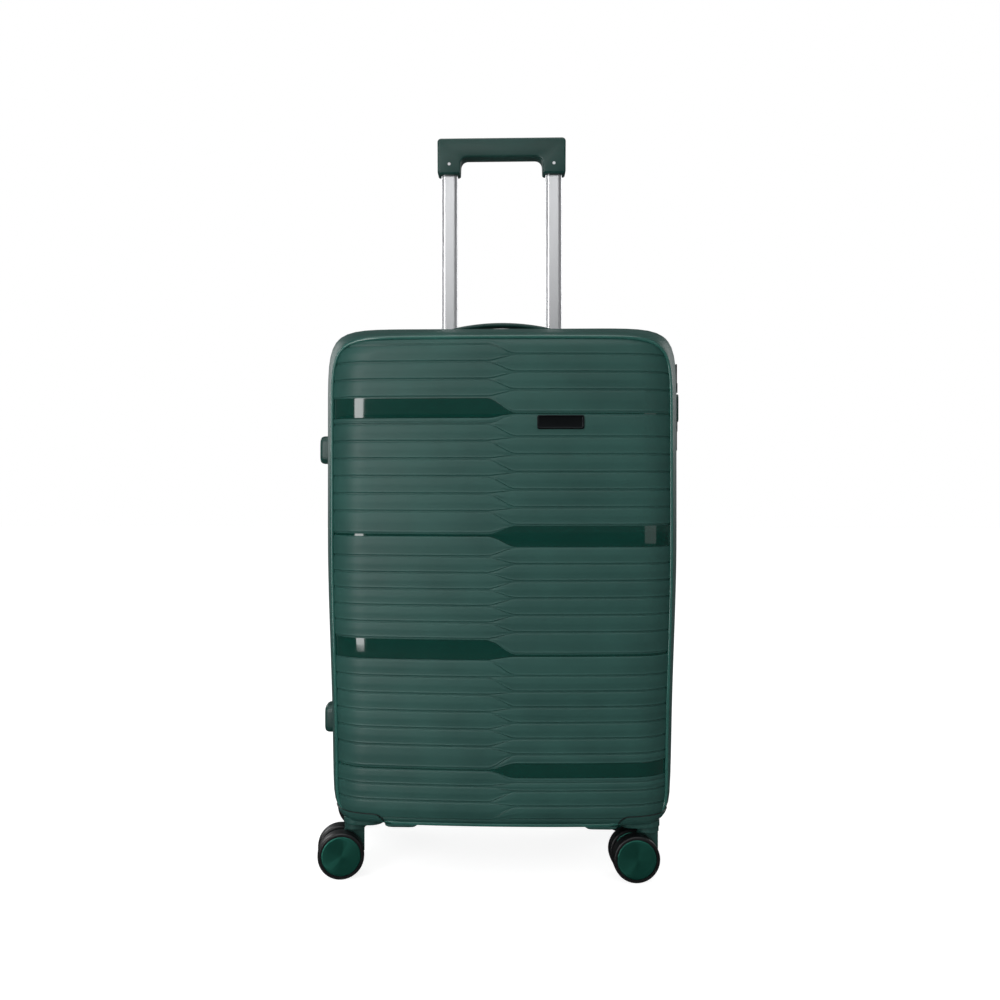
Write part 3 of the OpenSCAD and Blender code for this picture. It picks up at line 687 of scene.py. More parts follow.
(top_1, foot_1, line_1), (top_2, foot_2, line_2), (top_3, foot_3, line_3), (top_4, foot_4, line_4) = BANDS
strips = [("rib", PANEL_TOP, 627.2, PANEL_TOP, 614.9)]
strips += weave(rib_edges(626.4, top_1, 3), rib_edges(614.2, line_1, 3, 2), "left")
strips += [("band", top_1 - 0.7, foot_1, line_1 - 0.7, line_1 - 2.0),
           ("rib", foot_1, foot_1 - LIP + 0.7, line_1 - 2.0, line_1 - 0.7 - THIN / MM)]
strips += weave(rib_edges(foot_1 - LIP, line_2, 6, 5), rib_edges(line_1 - THIN / MM, top_2, 6, 0), "right")
strips += [("band", line_2 - 0.7, line_2 - THIN / MM, top_2 - 0.7, foot_2)]
strips += weave(rib_edges(line_2 - THIN / MM, top_3, 6, 0), rib_edges(foot_2, line_3, 6, 5), "left")
strips += [("band", top_3 - 0.7, foot_3, line_3 - 0.7, line_3 - THIN / MM)]
strips += weave(rib_edges(foot_3, line_4, 6, 5), rib_edges(line_3 - THIN / MM, top_4 + LOW_LIP, 6, 0), "right")
strips += [("rib", line_4 - 0.7, line_4 - 1.0, top_4 + LOW_LIP - 0.7, top_4),
           ("band", line_4 - 1.0, line_4 - 2.4, top_4, foot_4),
           ("rib", line_4 - 2.4, line_4 - THIN / MM, foot_4, foot_4 - 4.0)]
strips += weave([line_4 - THIN / MM, 117.5, 99.2, 77.1], [foot_4 - 4.7, 112.4, 95.0, 79.2], "left")
strips += [("rib", 76.4, PANEL_FOOT, 78.5, PANEL_FOOT)]
print("strips on the face:", len(strips), "of them bands:", sum(s[0] == "band" for s in strips))

# %% [markdown]
# A rib's section: the groove's wall, a flat that leans up to a soft crease in the middle, a second flat, and a fine
# lip above the next groove. That lip is what draws a thin bright line under the light. A band is a plain recess.

# %% Face of a shell
RIB_SECTION = [(0.0, 0.0, 0.0), (0.5, 0.04, 0.55), (1.2, 0.1, 0.8), (3.0, 0.2, 1.0), (99, 0.38, 1.24),
               (99, 0.5, 1.36), (99, 0.58, 1.16), (-3.6, 0.72, 0.98), (-2.2, 0.84, 0.96), (-1.3, 0.9, 1.26),
               (-0.6, 0.96, 0.95)]
BAND_SECTION = [(0.0, 0.0, 0.46), (0.35, 0.1, 0.52), (0.9, 0.2, 0.55), (99, 0.35, 0.55), (99, 0.5, 0.55),
                (99, 0.65, 0.55), (-0.9, 0.8, 0.55), (-0.35, 0.9, 0.42)]
BEAD_W = 199 * MM
MEET_FROM, MEET_TO = -16 * MM, 18 * MM
FLAT_COLUMNS = [x * MM for x in (-150, -132, -112, -92, -74, -58, -44, -32, -24, -18, -15, -12, -9, -6, -3, 0,
                                 3, 6, 9, 12, 15, 18, 24, 32, 44, 58, 74, 92, 112, 132, 150)]
EDGE_STEPS = 15
SHALLOW = 0.9  # grooves rise towards this height where the two sides meet


def bead_width(z):
    """Half width of the face inside its bead, at a height."""
    reach = min(0.9995, max(0.0, (abs(z - PANEL_MIDDLE) - PANEL_HALF + BEAD_W) / BEAD_W))
    n = CORNER_N if z > PANEL_MIDDLE else FOOT_N
    return BEAD_W * narrow(z) * (1 - reach ** n) ** (1 / n)


def row_columns(left_w, right_w):
    """Places across a row: close together in the middle and round the edges."""
    out = []
    for side, w in ((-1, left_w), (1, right_w)):
        flat = [x * w / BEAD_W for x in FLAT_COLUMNS if x * side > 0]
        start = max(abs(x) for x in flat)
        turn = [side * (start + (w - start) * math.sin(math.pi / 2 * k / EDGE_STEPS))
                for k in range(1, EDGE_STEPS + 1)]
        out += (turn[::-1] + flat) if side < 0 else ([0.0] + flat + turn)
    return out


def section_height(kind, wide, place):
    """Depth and height of one row of a strip that is wide across here, in millimetres."""
    near, share, lift = place
    if near == 99:
        down = share * wide
    elif near >= 0:
        down = min(near, share * wide)
    else:
        down = max(wide + near, share * wide)
    full = 4.5 if kind == "rib" else 3.0
    return down, lift * smooth((wide - GROOVE / MM * 1.1) / full)


def face_rows():
    """All rows of the ribbed face, top to bottom, with the kind of strip below each row."""
    rows = [strip + (place,) for strip in strips for place in (RIB_SECTION if strip[0] == "rib" else BAND_SECTION)]
    kinds = [row[0] for row in rows]
    kind, _, left_foot, _, right_foot = strips[-1]
    rows.append((kind, left_foot, left_foot - 0.01, right_foot, right_foot - 0.01, (0.0, 0.0, 0.0)))
    points = []
    for kind, lt, lf, rt, rf, place in rows:
        left_z = (lt - section_height(kind, lt - lf, place)[0]) * MM
        right_z = (rt - section_height(kind, rt - rf, place)[0]) * MM
        for x in row_columns(bead_width(left_z), bead_width(right_z)):
            e = smooth((x - MEET_FROM) / (MEET_TO - MEET_FROM))
            top, foot = lt + (rt - lt) * e, lf + (rf - lf) * e
            down, lift = section_height(kind, top - foot, place)
            if kind == "rib" and lift < SHALLOW:
                lift = SHALLOW - (SHALLOW - lift) * (1 - 0.55 * math.sin(math.pi * e) ** 2)
            hit, out = on_form(x, (top - down) * MM)
            points.append(hit - out * (RELIEF - lift * MM))
    return points, kinds


face_points, face_kinds = face_rows()
FACE_COLUMNS = len(row_columns(BEAD_W, BEAD_W))
face_faces = net_faces(len(face_kinds) + 1, FACE_COLUMNS)
face_finish = [1 if face_kinds[i // (FACE_COLUMNS - 1)] == "band" else 0 for i in range(len(face_faces))]
print("ribbed face:", len(face_points), "points in", len(face_kinds) + 1, "rows")

# %% [markdown]
# ## Skirt, bead and rim
# Round the ribbed face runs a slim bead; outside it the walls are plain down to the rim, with one shallow line beside
# the zip. The inner skin lies 2.6 mm in. In the rear shell the skirt leaves windows for the trolley's recess and for
# the lock.

# %% Skirt, bead and rim
WALL = 2.6 * MM
SIDE_WALL = 0.95 * HALF_W  # everything to the right of this is in the side wall
seat_low, seat_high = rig.box("trolley_seat")
WINDOW_FROM, WINDOW_TO = seat_low[1] + 1 * MM, seat_high[1] - 1 * MM
lock_low, lock_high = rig.box("lock_housing")
LOCK_FROM, LOCK_TO = lock_low[1] + 0.5 * MM, lock_high[1] - 0.5 * MM
SKIRT = [(RIM, 0.0), (RIM + 3 * MM, 0.0), (RIM + 3.6 * MM, 0.7), (LOCK_FROM, 0.7), (LOCK_FROM + 0.8 * MM, 0.0),
         (LOCK_TO, 0.0), (52 * MM, 0.0), (WINDOW_FROM, 0.0), ((WINDOW_FROM + WINDOW_TO) / 2, 0.0), (WINDOW_TO, 0.0)]


def bead_ring():
    """Places on the form under the bead, each with the direction out of it."""
    points = []
    for vx, vz, s in unit_outline(FOOT_N):
        z = PANEL_MIDDLE + (PANEL_HALF - BEAD_W) * s + BEAD_W * vz
        points.append(on_form(BEAD_W * vx * narrow(z), z))
    return points


bead = bead_ring()


def skirt_rows(window):
    """Rings from the rim to just under the bead. With a window, its columns are set on the recess's sides."""
    rows = [tray_ring(depth, dip * MM) for depth, dip in SKIRT]
    last = rows[-1]
    for t in (0.35, 0.7, 1.0):
        row = []
        for p, (q, out) in zip(last, bead):
            x, z = p.x + (q.x - p.x) * t, p.z + (q.z - p.z) * t
            row.append(on_form(x, z)[0] if t < 1 else q - out * 0.2 * MM)
        rows.append(row)
    inner = []
    for q, out in bead:
        middle_way = Vector((-q.x, 0, (FOOT + TOP) / 2 - q.z)).normalized()
        inner.append(q - out * 1.6 * MM + middle_way * 2.0 * MM)
    rows.append(inner)
    if window:
        wall = [i for i, p in enumerate(rows[0]) if p.x > SIDE_WALL]
        for edge in (lock_low[2] + 0.5 * MM, lock_high[2] - 0.5 * MM):
            column = min(wall, key=lambda i: abs(rows[0][i].z - edge))
            for row in rows[:len(SKIRT)]:
                row[column].z = edge
        for row in rows:
            for p in row:
                if abs(abs(p.x) - seat_high[0]) < 8.5 * MM and p.z > TOP - 30 * MM:
                    p.x = math.copysign(seat_high[0] - 1 * MM, p.x)
    return rows


def shell_mesh(front):
    """Everything of one shell but its bead: ribbed face, skirt, rim and inner skin."""
    points, faces, finish = list(face_points), list(face_faces), list(face_finish)
    first = len(points)
    rows = [tray_ring(RIM, WALL)] + skirt_rows(not front)
    points += [p for row in rows for p in row]
    outer = net_faces(len(rows), COLUMNS, first, closed=True)
    inner_points, inner_faces = tray([RIM, 60 * MM] + edge_depths(DEEP - WALL, SIDE_R - WALL, 8),
                                     [0.9, 0.7, 0.5, 0.3, 0.1], WALL)
    shift = len(points)
    points += inner_points
    outer += [tuple(shift + i for i in f) for f in inner_faces]

    def in_window(face):
        centre = sum((points[i] for i in face), Vector()) / len(face)
        if centre.x > SIDE_WALL and lock_low[2] < centre.z < lock_high[2]:
            return LOCK_FROM < -centre.y < LOCK_TO and min(face) < shift
        return (centre.z > TOP - 40 * MM and abs(centre.x) < seat_high[0] - 1 * MM
                and WINDOW_FROM < -centre.y < WINDOW_TO)

    if not front:
        outer = [f for f in outer if not in_window(f)]
    faces += outer
    finish += [0] * len(outer)
    if not front:
        points = [Vector((p.x, -p.y, p.z)) for p in points]
        faces = [f[::-1] for f in faces]
    return (points, faces), finish


def make_shell(node, body, front):
    """One shell with its bead."""
    shape, finish = shell_mesh(front)
    shell = make_piece(node + "_skin", shape, [matte_shell, gloss_band_painted_shade], body, "shell_polypropylene",
                       (node,), sharp=40, recalculate=False)
    shell.data.polygons.foreach_set("material_index", finish)
    side = 1 if front else -1
    path = []
    for q, out in bead:  # it sinks below the skin where it passes under the corner guards
        lift = -1.7 if abs(q.x) > 132 * MM and q.z < 86 * MM else 0.6
        path.append(Vector((q.x + out.x * lift * MM, side * (q.y + out.y * lift * MM), q.z + out.z * lift * MM)))
    shape = sweep(path, oval(2.2, 1.7, 8), closed=True, up=Vector((0, -side, 0)))
    make_piece(node + "_bead", shape, bead_painted_highlight, body, "shell_polypropylene", sharp=80)
    return shell


front_skin = make_shell("front_shell", "lid", True)
rear_skin = make_shell("rear_shell", "case_base", False)
print("shells:", len(front_skin.data.vertices), "and", len(rear_skin.data.vertices), "points")

# %% [markdown]
# ## Corner guards and foot pads
# A thicker moulding sits in each lower corner and takes the caster. It is flush with the shell, with a dark parting
# line round it. We take its outline from the frame, divide it finely and lay it on the shell's smooth form. Beside it
# the shell has a low pad that it can stand on when it is tipped.

# %% Corner guards and foot pads
def mirrored(shape, side):
    """The same shape for the lid (side 1) or for the base (side -1), which is its mirror image."""
    return [Vector((p.x, side * p.y, p.z)) for p in shape[0]], shape[1]


def corner_guards(node, body, side):
    """The two guards of one shell: the frame's own outline, laid on the smooth form."""
    source = frame["nodes"][node]
    b = bmesh.new()
    b.from_mesh(source.data)
    bmesh.ops.remove_doubles(b, verts=b.verts, dist=0.01 * MM)
    for _ in range(2):
        long_edges = [e for e in b.edges if e.calc_length() > 4 * MM]
        bmesh.ops.subdivide_edges(b, edges=long_edges, cuts=1, use_grid_fill=True)
    bmesh.ops.triangulate(b, faces=b.faces)
    for v in b.verts:
        p = Vector((v.co.x, side * v.co.y, v.co.z))
        if p.z < FOOT - 0.5 * MM or p.y > -RIM:
            continue
        near, out, _, gap = form.find_nearest(p)
        if near is not None and gap < 1.2 * MM:
            out = out if (p - Vector((0, 0, 0.36))).dot(out) > 0 else -out
            near = near + out * 0.35 * MM
            v.co = Vector((near.x, side * near.y, near.z))
    mesh = bpy.data.meshes.new(node + "_moulding")
    b.to_mesh(mesh)
    b.free()
    mesh.polygons.foreach_set("use_smooth", [True] * len(mesh.polygons))
    mesh.set_sharp_from_angle(angle=math.radians(35))
    mesh.materials.append(matte_shell)
    piece = bpy.data.objects.new(node + "_moulding", mesh)
    bpy.context.collection.objects.link(piece)
    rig.ride(piece, body)
    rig.slot(piece, "housing_polypropylene")
    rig.replaces(piece, node)


GUARD_X, GUARD_TOP, GUARD_R = 136 * MM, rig.box("front_corner_housings")[1][2], 12 * MM
PAD_X, PAD_Y = 116.5 * MM, -83 * MM


def parting_line(hand):
    """From the foot of the guard's inner edge, round its corner and out to the side wall."""
    edge = [(GUARD_X, FOOT + 1.5 * MM), (GUARD_X, FOOT + 2.5 * MM)]
    edge += arc(GUARD_X + GUARD_R, GUARD_TOP - GUARD_R, GUARD_R, 180, 90, 9)
    edge += [(GUARD_X + GUARD_R + k * 4 * MM, GUARD_TOP) for k in range(1, 13)]
    path = []
    for x, z in edge:
        hit, out = on_form(hand * x, z)
        path.append(hit + out * 0.2 * MM)
    return path


def foot_pad(hand):
    """A raised pad under the shell with sloping sides, beside the guard."""
    levels = [(38, 70, FOOT / MM + 2), (37, 69, FOOT / MM - 0.4), (33, 65, FOOT / MM - 2.2), (27, 59, FOOT / MM - 3.4),
              (24, 56, FOOT / MM - 3.6)]
    return loft([[Vector((hand * PAD_X + x, PAD_Y + y, z * MM)) for x, y in rounded(w * MM, d * MM, 4 * MM, 5)]
                 for w, d, z in levels])


for node, body, side in (("front_corner_housings", "lid", 1), ("rear_corner_housings", "case_base", -1)):
    corner_guards(node, body, side)
    for hand, word in ((-1, "left"), (1, "right")):
        line = sweep(parting_line(hand), oval(0.55, 0.45, 6), up=Vector((0, -1, 0)))
        make_piece(f"{body}_{word}_parting_line", mirrored(line, side), black_abs, body, "black_plastic")
        make_piece(f"{body}_{word}_foot_pad", mirrored(foot_pad(hand), side), matte_shell, body,
                   "shell_polypropylene")
print("guards with parting lines at x", GUARD_X, "and height", round(GUARD_TOP, 4))

# %% [markdown]
# ## Zip
# A nylon coil runs round the parting plane. We sweep a small section along the outline and swell it once for each
# tooth. Real teeth are 1.3 mm apart; ours are 2.6 mm apart so that they show. Each half stays with its own shell.

# %% Zip
def resample(path, step):
    """A closed path with points at equal steps."""
    out, carry = [], 0.0
    for a, b in zip(path, path[1:] + path[:1]):
        length = (b - a).length
        while carry < length:
            out.append(a.lerp(b, carry / length))
            carry += step
        carry -= length
    return out


ZIP_IN = shell_high[0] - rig.box("front_zip")[1][0]
TOOTH = 2.6 * MM


def zip_outline(y, inset):
    """The rim's outline, moved in and set at a depth of its own."""
    return [Vector((p.x, y, p.z)) for p in ring(HALF_W - inset, FOOT + inset, TOP - inset, 0.0)]


for node, body, side in (("front_zip", "lid", -1), ("rear_zip", "case_base", 1)):
    path = resample(zip_outline(side * 0.95 * MM, ZIP_IN + 0.4 * MM), TOOTH / 2)
    sizes = ((0.95 * MM, 1.0 * MM), (0.6 * MM, 0.7 * MM))
    shape = sweep(path, lambda i: [(sizes[i % 2][0] * math.cos(a), sizes[i % 2][1] * math.sin(a))
                                   for a in (0, 1.05, 2.09, 3.14, 4.19, 5.24)], closed=True)
    make_piece(node + "_coil", shape, black_abs, body, "zip_tape", sharp=60)
print("zip coil:", len(path), "steps of", TOOTH / 2 / MM, "mm")

# %% [markdown]
# ## Grip
# The grip is a satin moulding: a bar with two short legs that take the tubes. Its opening widens downwards and has
# soft inner corners. We draw its front as one outline, then step that outline in at both faces for a rounded edge.

# %% Grip
def inset_outline(outline, amount):
    """Moves each point of a closed outline inwards by an amount."""
    out = []
    for i, p in enumerate(outline):
        before, after = outline[i - 1], outline[(i + 1) % len(outline)]
        e1 = Vector((p[0] - before[0], p[1] - before[1])).normalized()
        e2 = Vector((after[0] - p[0], after[1] - p[1])).normalized()
        n = Vector((-e1.y - e2.y, e1.x + e2.x))
        n = n.normalized() / max(0.5, math.sqrt(max(0.25, (1 + e1.dot(e2)) / 2)))
        out.append((p[0] + n.x * amount, p[1] + n.y * amount))
    return out


def rounded_slab(outline, low, high, edge, place):
    """An outline with thickness from low to high and rounded edges; place turns (a, b, t) into a point."""
    steps = [(t * edge, i * edge) for t, i in ((0, 1), (0.12, 0.6), (0.35, 0.3), (0.65, 0.1), (1, 0))]
    levels = [(low + t, i) for t, i in steps] + [(high - t, i) for t, i in steps[::-1]]
    return loft([[place(a, b, t) for a, b in inset_outline(outline, i)] for t, i in levels])


grip_low, grip_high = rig.box("grip")
GRIP_W, GRIP_TOP, GRIP_FOOT = grip_high[0] / MM, grip_high[2] / MM, grip_low[2] / MM
OPEN_W = 55.2  # half the opening's width at its foot
grip_outline = (arc(GRIP_W - 5, GRIP_TOP - 5, 5, 0, 90) + arc(5 - GRIP_W, GRIP_TOP - 5, 5, 90, 180)
                + arc(3.2 - GRIP_W, GRIP_FOOT + 3, 3, 180, 270, 4) + arc(-OPEN_W - 3.2, GRIP_FOOT + 3, 3, 270, 360, 4)
                + arc(-OPEN_W + 9.6, GRIP_TOP - 35, 9.4, 180, 90) + arc(OPEN_W - 9.6, GRIP_TOP - 35, 9.4, 90, 0)
                + arc(OPEN_W + 3.2, GRIP_FOOT + 3, 3, 180, 270, 4) + arc(GRIP_W - 3.2, GRIP_FOOT + 3, 3, 270, 360, 4))
shape = rounded_slab([(x * MM, z * MM) for x, z in grip_outline], grip_low[1], grip_high[1], 2.6 * MM,
                     lambda a, b, t: Vector((a, t, b)))
make_piece("grip_moulding", shape, satin_green, "trolley_upper_stage", "green_plastic", ("grip",))

button_low, button_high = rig.box("grip_button")
button_x, button_y, _ = (button_low + button_high) / 2
button_wide, button_deep, _ = button_high - button_low
shape = rounded_slab(rounded(button_wide, button_deep, 6.5 * MM, 6), button_low[2] - 4 * MM,
                     button_high[2] + 1.2 * MM, 1.2 * MM, lambda a, b, t: Vector((button_x + a, button_y + b, t)))
make_piece("release_button_cap", shape, black_abs, "release_button", "black_plastic", ("grip_button",))
collar = [Vector((button_x + x, button_y + y, GRIP_TOP * MM + 0.1 * MM))
          for x, y in rounded(button_wide + 1.6 * MM, button_deep + 1.6 * MM, 7 * MM, 6)]
shape = sweep(collar, [(0.7 * MM, 0), (0, 0.35 * MM), (-0.7 * MM, 0), (0, -0.35 * MM)], closed=True,
              up=Vector((0, 0, 1)))
make_piece("release_button_surround", shape, black_abs, "trolley_upper_stage", "black_plastic")
print("grip", round(2 * GRIP_W), "mm wide,", len(grip_outline), "points round it")

# %% [markdown]
# ## Carry handle
# A low arched strap of satin plastic. Each end turns down through a slot in its mount, so that the handle lifts
# by 14 mm when it is pulled. One sweep makes legs, bends and arch.

# %% Carry handle
handle_low, handle_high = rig.box("carry_handle")
HANDLE_Y = (handle_low[1] + handle_high[1]) / 2
LEG_X, STRAP_T, BEND = 75 * MM, 5 * MM, 9 * MM
ARCH_TOP = handle_high[2] - STRAP_T / 2


def arch_z(x):
    """Height of the arch, which is 10 mm high over its legs."""
    return ARCH_TOP - 10 * MM * (x / LEG_X) ** 2


start = -LEG_X + BEND * (1 - math.sin(math.radians(13)))
middle_z = arch_z(start) - BEND * math.cos(math.radians(13))
half_arch = [(-LEG_X, handle_low[2]), (-LEG_X, handle_low[2] + 10 * MM), (-LEG_X, middle_z - 3 * MM)]
half_arch += [(-LEG_X + BEND - BEND * math.sin(math.radians(a)), middle_z + BEND * math.cos(math.radians(a)))
              for a in (90, 74, 58, 42, 26, 13)]
half_arch += [(start * (1 - k / 12), arch_z(start * (1 - k / 12))) for k in range(1, 12)]
arch_path = [Vector((x, HANDLE_Y, z)) for x, z in half_arch] + [Vector((0, HANDLE_Y, ARCH_TOP))]
arch_path += [Vector((-x, HANDLE_Y, z)) for x, z in half_arch[::-1]]


def strap_section(i):
    """Wide on the arch and narrower in the legs; its thickness is the same all along."""
    x = abs(arch_path[i].x) / LEG_X
    width = 23.6 - 8.8 * smooth((x - 0.7) / 0.3)
    return [(a * MM, b * MM) for a, b in rounded(5.0, width, 2.2, 5)]


make_piece("carry_handle_strap", sweep(arch_path, strap_section), satin_green, body_of("carry_handle"),
           "green_plastic", ("carry_handle",), sharp=60)
print("carry handle: arch to", round(ARCH_TOP, 4), "m, legs at", LEG_X, "m")

# %% [markdown]
# ## Wheels
# Each wheel is a hard core with a polyurethane tyre bonded on. The tread is slightly crowned and its shoulders are
# rounded so that it turns easily. The cap was turned on a lathe, and the fine rings show as two bright wedges.

# %% Wheels
# Profiles, as (radius, along the axle)
TYRE = [(23.45, -8.5), (25.6, -8.5), (26.7, -8.0), (27.25, -6.8), (27.42, -4), (27.5, 0), (27.42, 4), (27.25, 6.8),
        (26.7, 8.0), (25.6, 8.5), (23.45, 8.5)]
CORE = [(0, 9.0), (3, 8.98), (8, 8.9), (13, 8.75), (18, 8.5), (21, 8.25), (22.4, 8.0), (23.0, 7.6), (23.4, 6.9),
        (23.4, -7.8), (22.4, -8.5), (18, -8.5), (16, -6), (8, -6), (7, -8.8), (3.3, -8.8), (3.1, -2), (0, -2)]
WHEEL_PARTS = (("tyre", TYRE, tyre_rubber, "tyre"), ("hub", CORE, gloss_green, "hub_plastic"))
CORNERS = ("front_left", "front_right", "rear_left", "rear_right")


def middle(node):
    """Centre of a frame node's box."""
    low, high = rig.box(node)
    return (low + high) / 2


for corner in CORNERS:
    pair = (middle(corner + "_tyre_1") + middle(corner + "_tyre_2")) / 2
    for which in "12":
        centre = middle(f"{corner}_tyre_{which}")
        place = Matrix.Translation(centre) @ (centre - pair).to_track_quat("Z", "Y").to_matrix().to_4x4()
        for part, profile, finish, slot in WHEEL_PARTS:
            node = f"{corner}_{part}_{which}"
            make_piece(node + "_turned", lathe(profile), finish, body_of(node), slot, (node,), sharp=50, place=place)
print("wheels: tread", 2 * max(r for r, _ in TYRE), "mm across,", len(TYRE), "points in its profile")

# %% [markdown]
# ## Side feet
# Two pads on the hinge side keep the case off the floor when it lies on that edge. Their sides draw in a little so
# that they leave the mould, and their outer edge is rounded.

# %% Side feet
feet_low, feet_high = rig.box("side_feet")
FOOT_TALL, FOOT_OUT, FEET_Y = 36 * MM, 12.6 * MM, (feet_low[1] + feet_high[1]) / 2
FOOT_DEEP = feet_high[1] - feet_low[1]
levels = [(0, -6), (0, 7), (0.5, 9.4), (1.4, 11.2), (2.8, 12.2), (5.0, 12.6), (7.5, 12.6), (8.5, 12.1), (9.5, 12.1)]
for word, z in (("upper", feet_high[2] - FOOT_TALL / 2), ("lower", feet_low[2] + FOOT_TALL / 2)):
    wall_x = -HALF_W * narrow(z)
    shape = stepped(levels, FOOT_DEEP, FOOT_TALL, 9, 0.5, 6,
                    lambda a, b, out: Vector((wall_x - out, FEET_Y + a, z + b)))
    make_piece(f"{word}_side_foot", shape, satin_green, body_of("side_feet"), "green_plastic",
               ("side_feet",) if word == "upper" else ())
print("side feet stand out to", round(wall_x - FOOT_OUT, 4))

# %% [markdown]
# ## Badge plate
# A small pressed plate with a raised border, bonded across the ribs. It follows the face's slight turn.

# %% Badge plate
badge_low, badge_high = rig.box("badge_plate")
badge_middle, badge_out = on_form((badge_low[0] + badge_high[0]) / 2, (badge_low[2] + badge_high[2]) / 2)
badge_out = Vector((badge_out.x, badge_out.y, 0)).normalized()
badge_right = badge_out.cross(Vector((0, 0, -1))).normalized()
levels = [(0, -2.0), (0, 0.9), (0.3, 1.25), (0.8, 1.4), (1.6, 1.4), (1.9, 1.15), (2.4, 1.1)]
shape = stepped(levels, 54 * MM, 16 * MM, 2.4, 0.6, 5,
                lambda a, b, out: badge_middle + badge_right * a + Vector((0, 0, b)) + badge_out * out)
make_piece("badge_pressing", shape, dark_plate, body_of("badge_plate"), "badge_metal", ("badge_plate",), sharp=50)
print("badge turned by", round(math.degrees(math.atan2(badge_out.x, -badge_out.y)), 2), "degrees")

# %% [markdown]
# ## Number wheels
# Each dial has a rim with ten finger notches. The numbers would be printed in between; a generic dial needs none.

# %% Number wheels
for which in "123":
    node = "dial_" + which
    low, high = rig.box(node)
    centre, tall, r = (low + high) / 2, high[2] - low[2], (high[0] - low[0]) / 2

    def dial_ring(z, inset, notch):
        ring_points = []
        for k in range(120):
            a = math.tau * k / 120
            reach = r - inset - notch * max(0.0, math.cos(10 * a)) ** 3
            ring_points.append(centre + Vector((reach * math.cos(a), reach * math.sin(a), z)))
        return ring_points

    # (height, inset, depth of the notches) up to the middle, then the same upside down
    half = [(-tall / 2, r - 2 * MM, 0), (-tall / 2, 0.5 * MM, 0), (-tall / 2 + 0.4 * MM, 0, 0.3 * MM),
            (-tall / 4, 0, 0.5 * MM)]
    rings = [dial_ring(*level) for level in half + [(-z, inset, notch) for z, inset, notch in half[::-1]]]
    make_piece(node + "_fluted", loft(rings, capped=False), black_abs, body_of(node), "dial_plastic", (node,),
               sharp=45)
print("dials:", round(2 * r, 4), "m across, ten notches each")

# %% [markdown]
# ## Lining
# Each half is lined with thin woven polyester, cut as one piece, sewn at the corners and glued at the rim. In the rear
# half it is stretched over the trolley's tubes and the grip's recess, which makes a false floor. In both it steps up
# over the caster housings. We use the tray form again, a little further in, and let the cloth ripple inwards by a
# millimetre or two.

# %% Lining
LINING_IN = 4.5 * MM
HOUSING_X, HOUSING_Y, HOUSING_TOP = 124 * MM, 38 * MM, 84.5 * MM  # where the caster housings are cleared
RECESS_X, RECESS_FOOT = 112 * MM, 584 * MM  # where the grip's recess is carried over


def lining(node, body, front):
    """The cloth of one half, declared as a sheet with the flat size of its cut."""
    low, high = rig.box(node)
    deep = (-low[1] if front else high[1]) - 0.5 * MM
    first = min(abs(low[1]), abs(high[1])) + 0.4 * MM
    depths = [first + (deep - SIDE_R + LINING_IN - first) * k / 9 for k in range(9)]
    points, faces = tray(depths + edge_depths(deep, SIDE_R - LINING_IN, 10), [1 - k / 20 for k in range(1, 20)],
                         LINING_IN, deep)
    heart = Vector((0, -deep * 0.3, (FOOT + TOP) / 2))
    out = []
    for i, p in enumerate(points):
        inwards = heart - p
        inwards = Vector((inwards.x if abs(p.x) > 0.15 else 0.2 * inwards.x, inwards.y,
                          inwards.z if abs(p.z - heart.z) > 0.24 else 0.2 * inwards.z)).normalized()
        ripple = 0.9 + 0.9 * noise.noise(p * 14) + 0.35 * noise.noise(p * 45)
        p = p + inwards * max(0.0, ripple) * MM * min(1.0, i / COLUMNS)
        step = smooth((abs(p.x) - HOUSING_X) / (9 * MM)) * smooth((-p.y - HOUSING_Y) / (10 * MM))
        p.z = max(p.z, p.z + (HOUSING_TOP - p.z) * step) if p.z < HOUSING_TOP else p.z
        if not front:
            over = smooth((RECESS_X - abs(p.x)) / (12 * MM)) * smooth((p.z - RECESS_FOOT) / (14 * MM))
            p.y += (max(p.y, 1.2 * MM - seat_low[1]) - p.y) * over
        out.append(p if front else Vector((p.x, -p.y, p.z)))
    piece = make_piece(node + "_cloth", (out, faces), lining_cloth, body, "lining_fabric", (node,), sharp=80)
    area = sum(f.area for f in piece.data.polygons)
    wide, long = 2 * HALF_W + 2 * deep, TALL + 2 * deep
    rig.sheet(piece, flat=(wide, long), held="stretched", rests_on=[node.replace("lining", "shell")],
             area=min(area, wide * long))
    print(node, "cut", round(wide, 3), "x", round(long, 3), "m, area", round(area, 3))


lining("front_lining", "lid", True)
lining("rear_lining", "case_base", False)

# %% [markdown]
# ## Pocket, straps and hinge strip
# A net pocket lies in the lid behind an elastic hem. Four webbing straps cross in the base and meet in a buckle; each
# sags a little between its anchor and the middle. A fabric strip joins the halves on the hinge side, and bends.

# %% Pocket, straps and hinge strip
pocket_low, pocket_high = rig.box("mesh_pocket")
POCKET_TOP, POCKET_Y = pocket_high[2], (pocket_low[1] + pocket_high[1]) / 2


def pocket_half(z):
    """Half width of the pocket at a height, inside the lid's lining."""
    rise = max(0.0, 1 - (z - pocket_low[2]) / (46 * MM))
    return pocket_high[0] * narrow(z) - 46 * MM * (1 - math.sqrt(max(0.0, 1 - rise ** 2.4)))


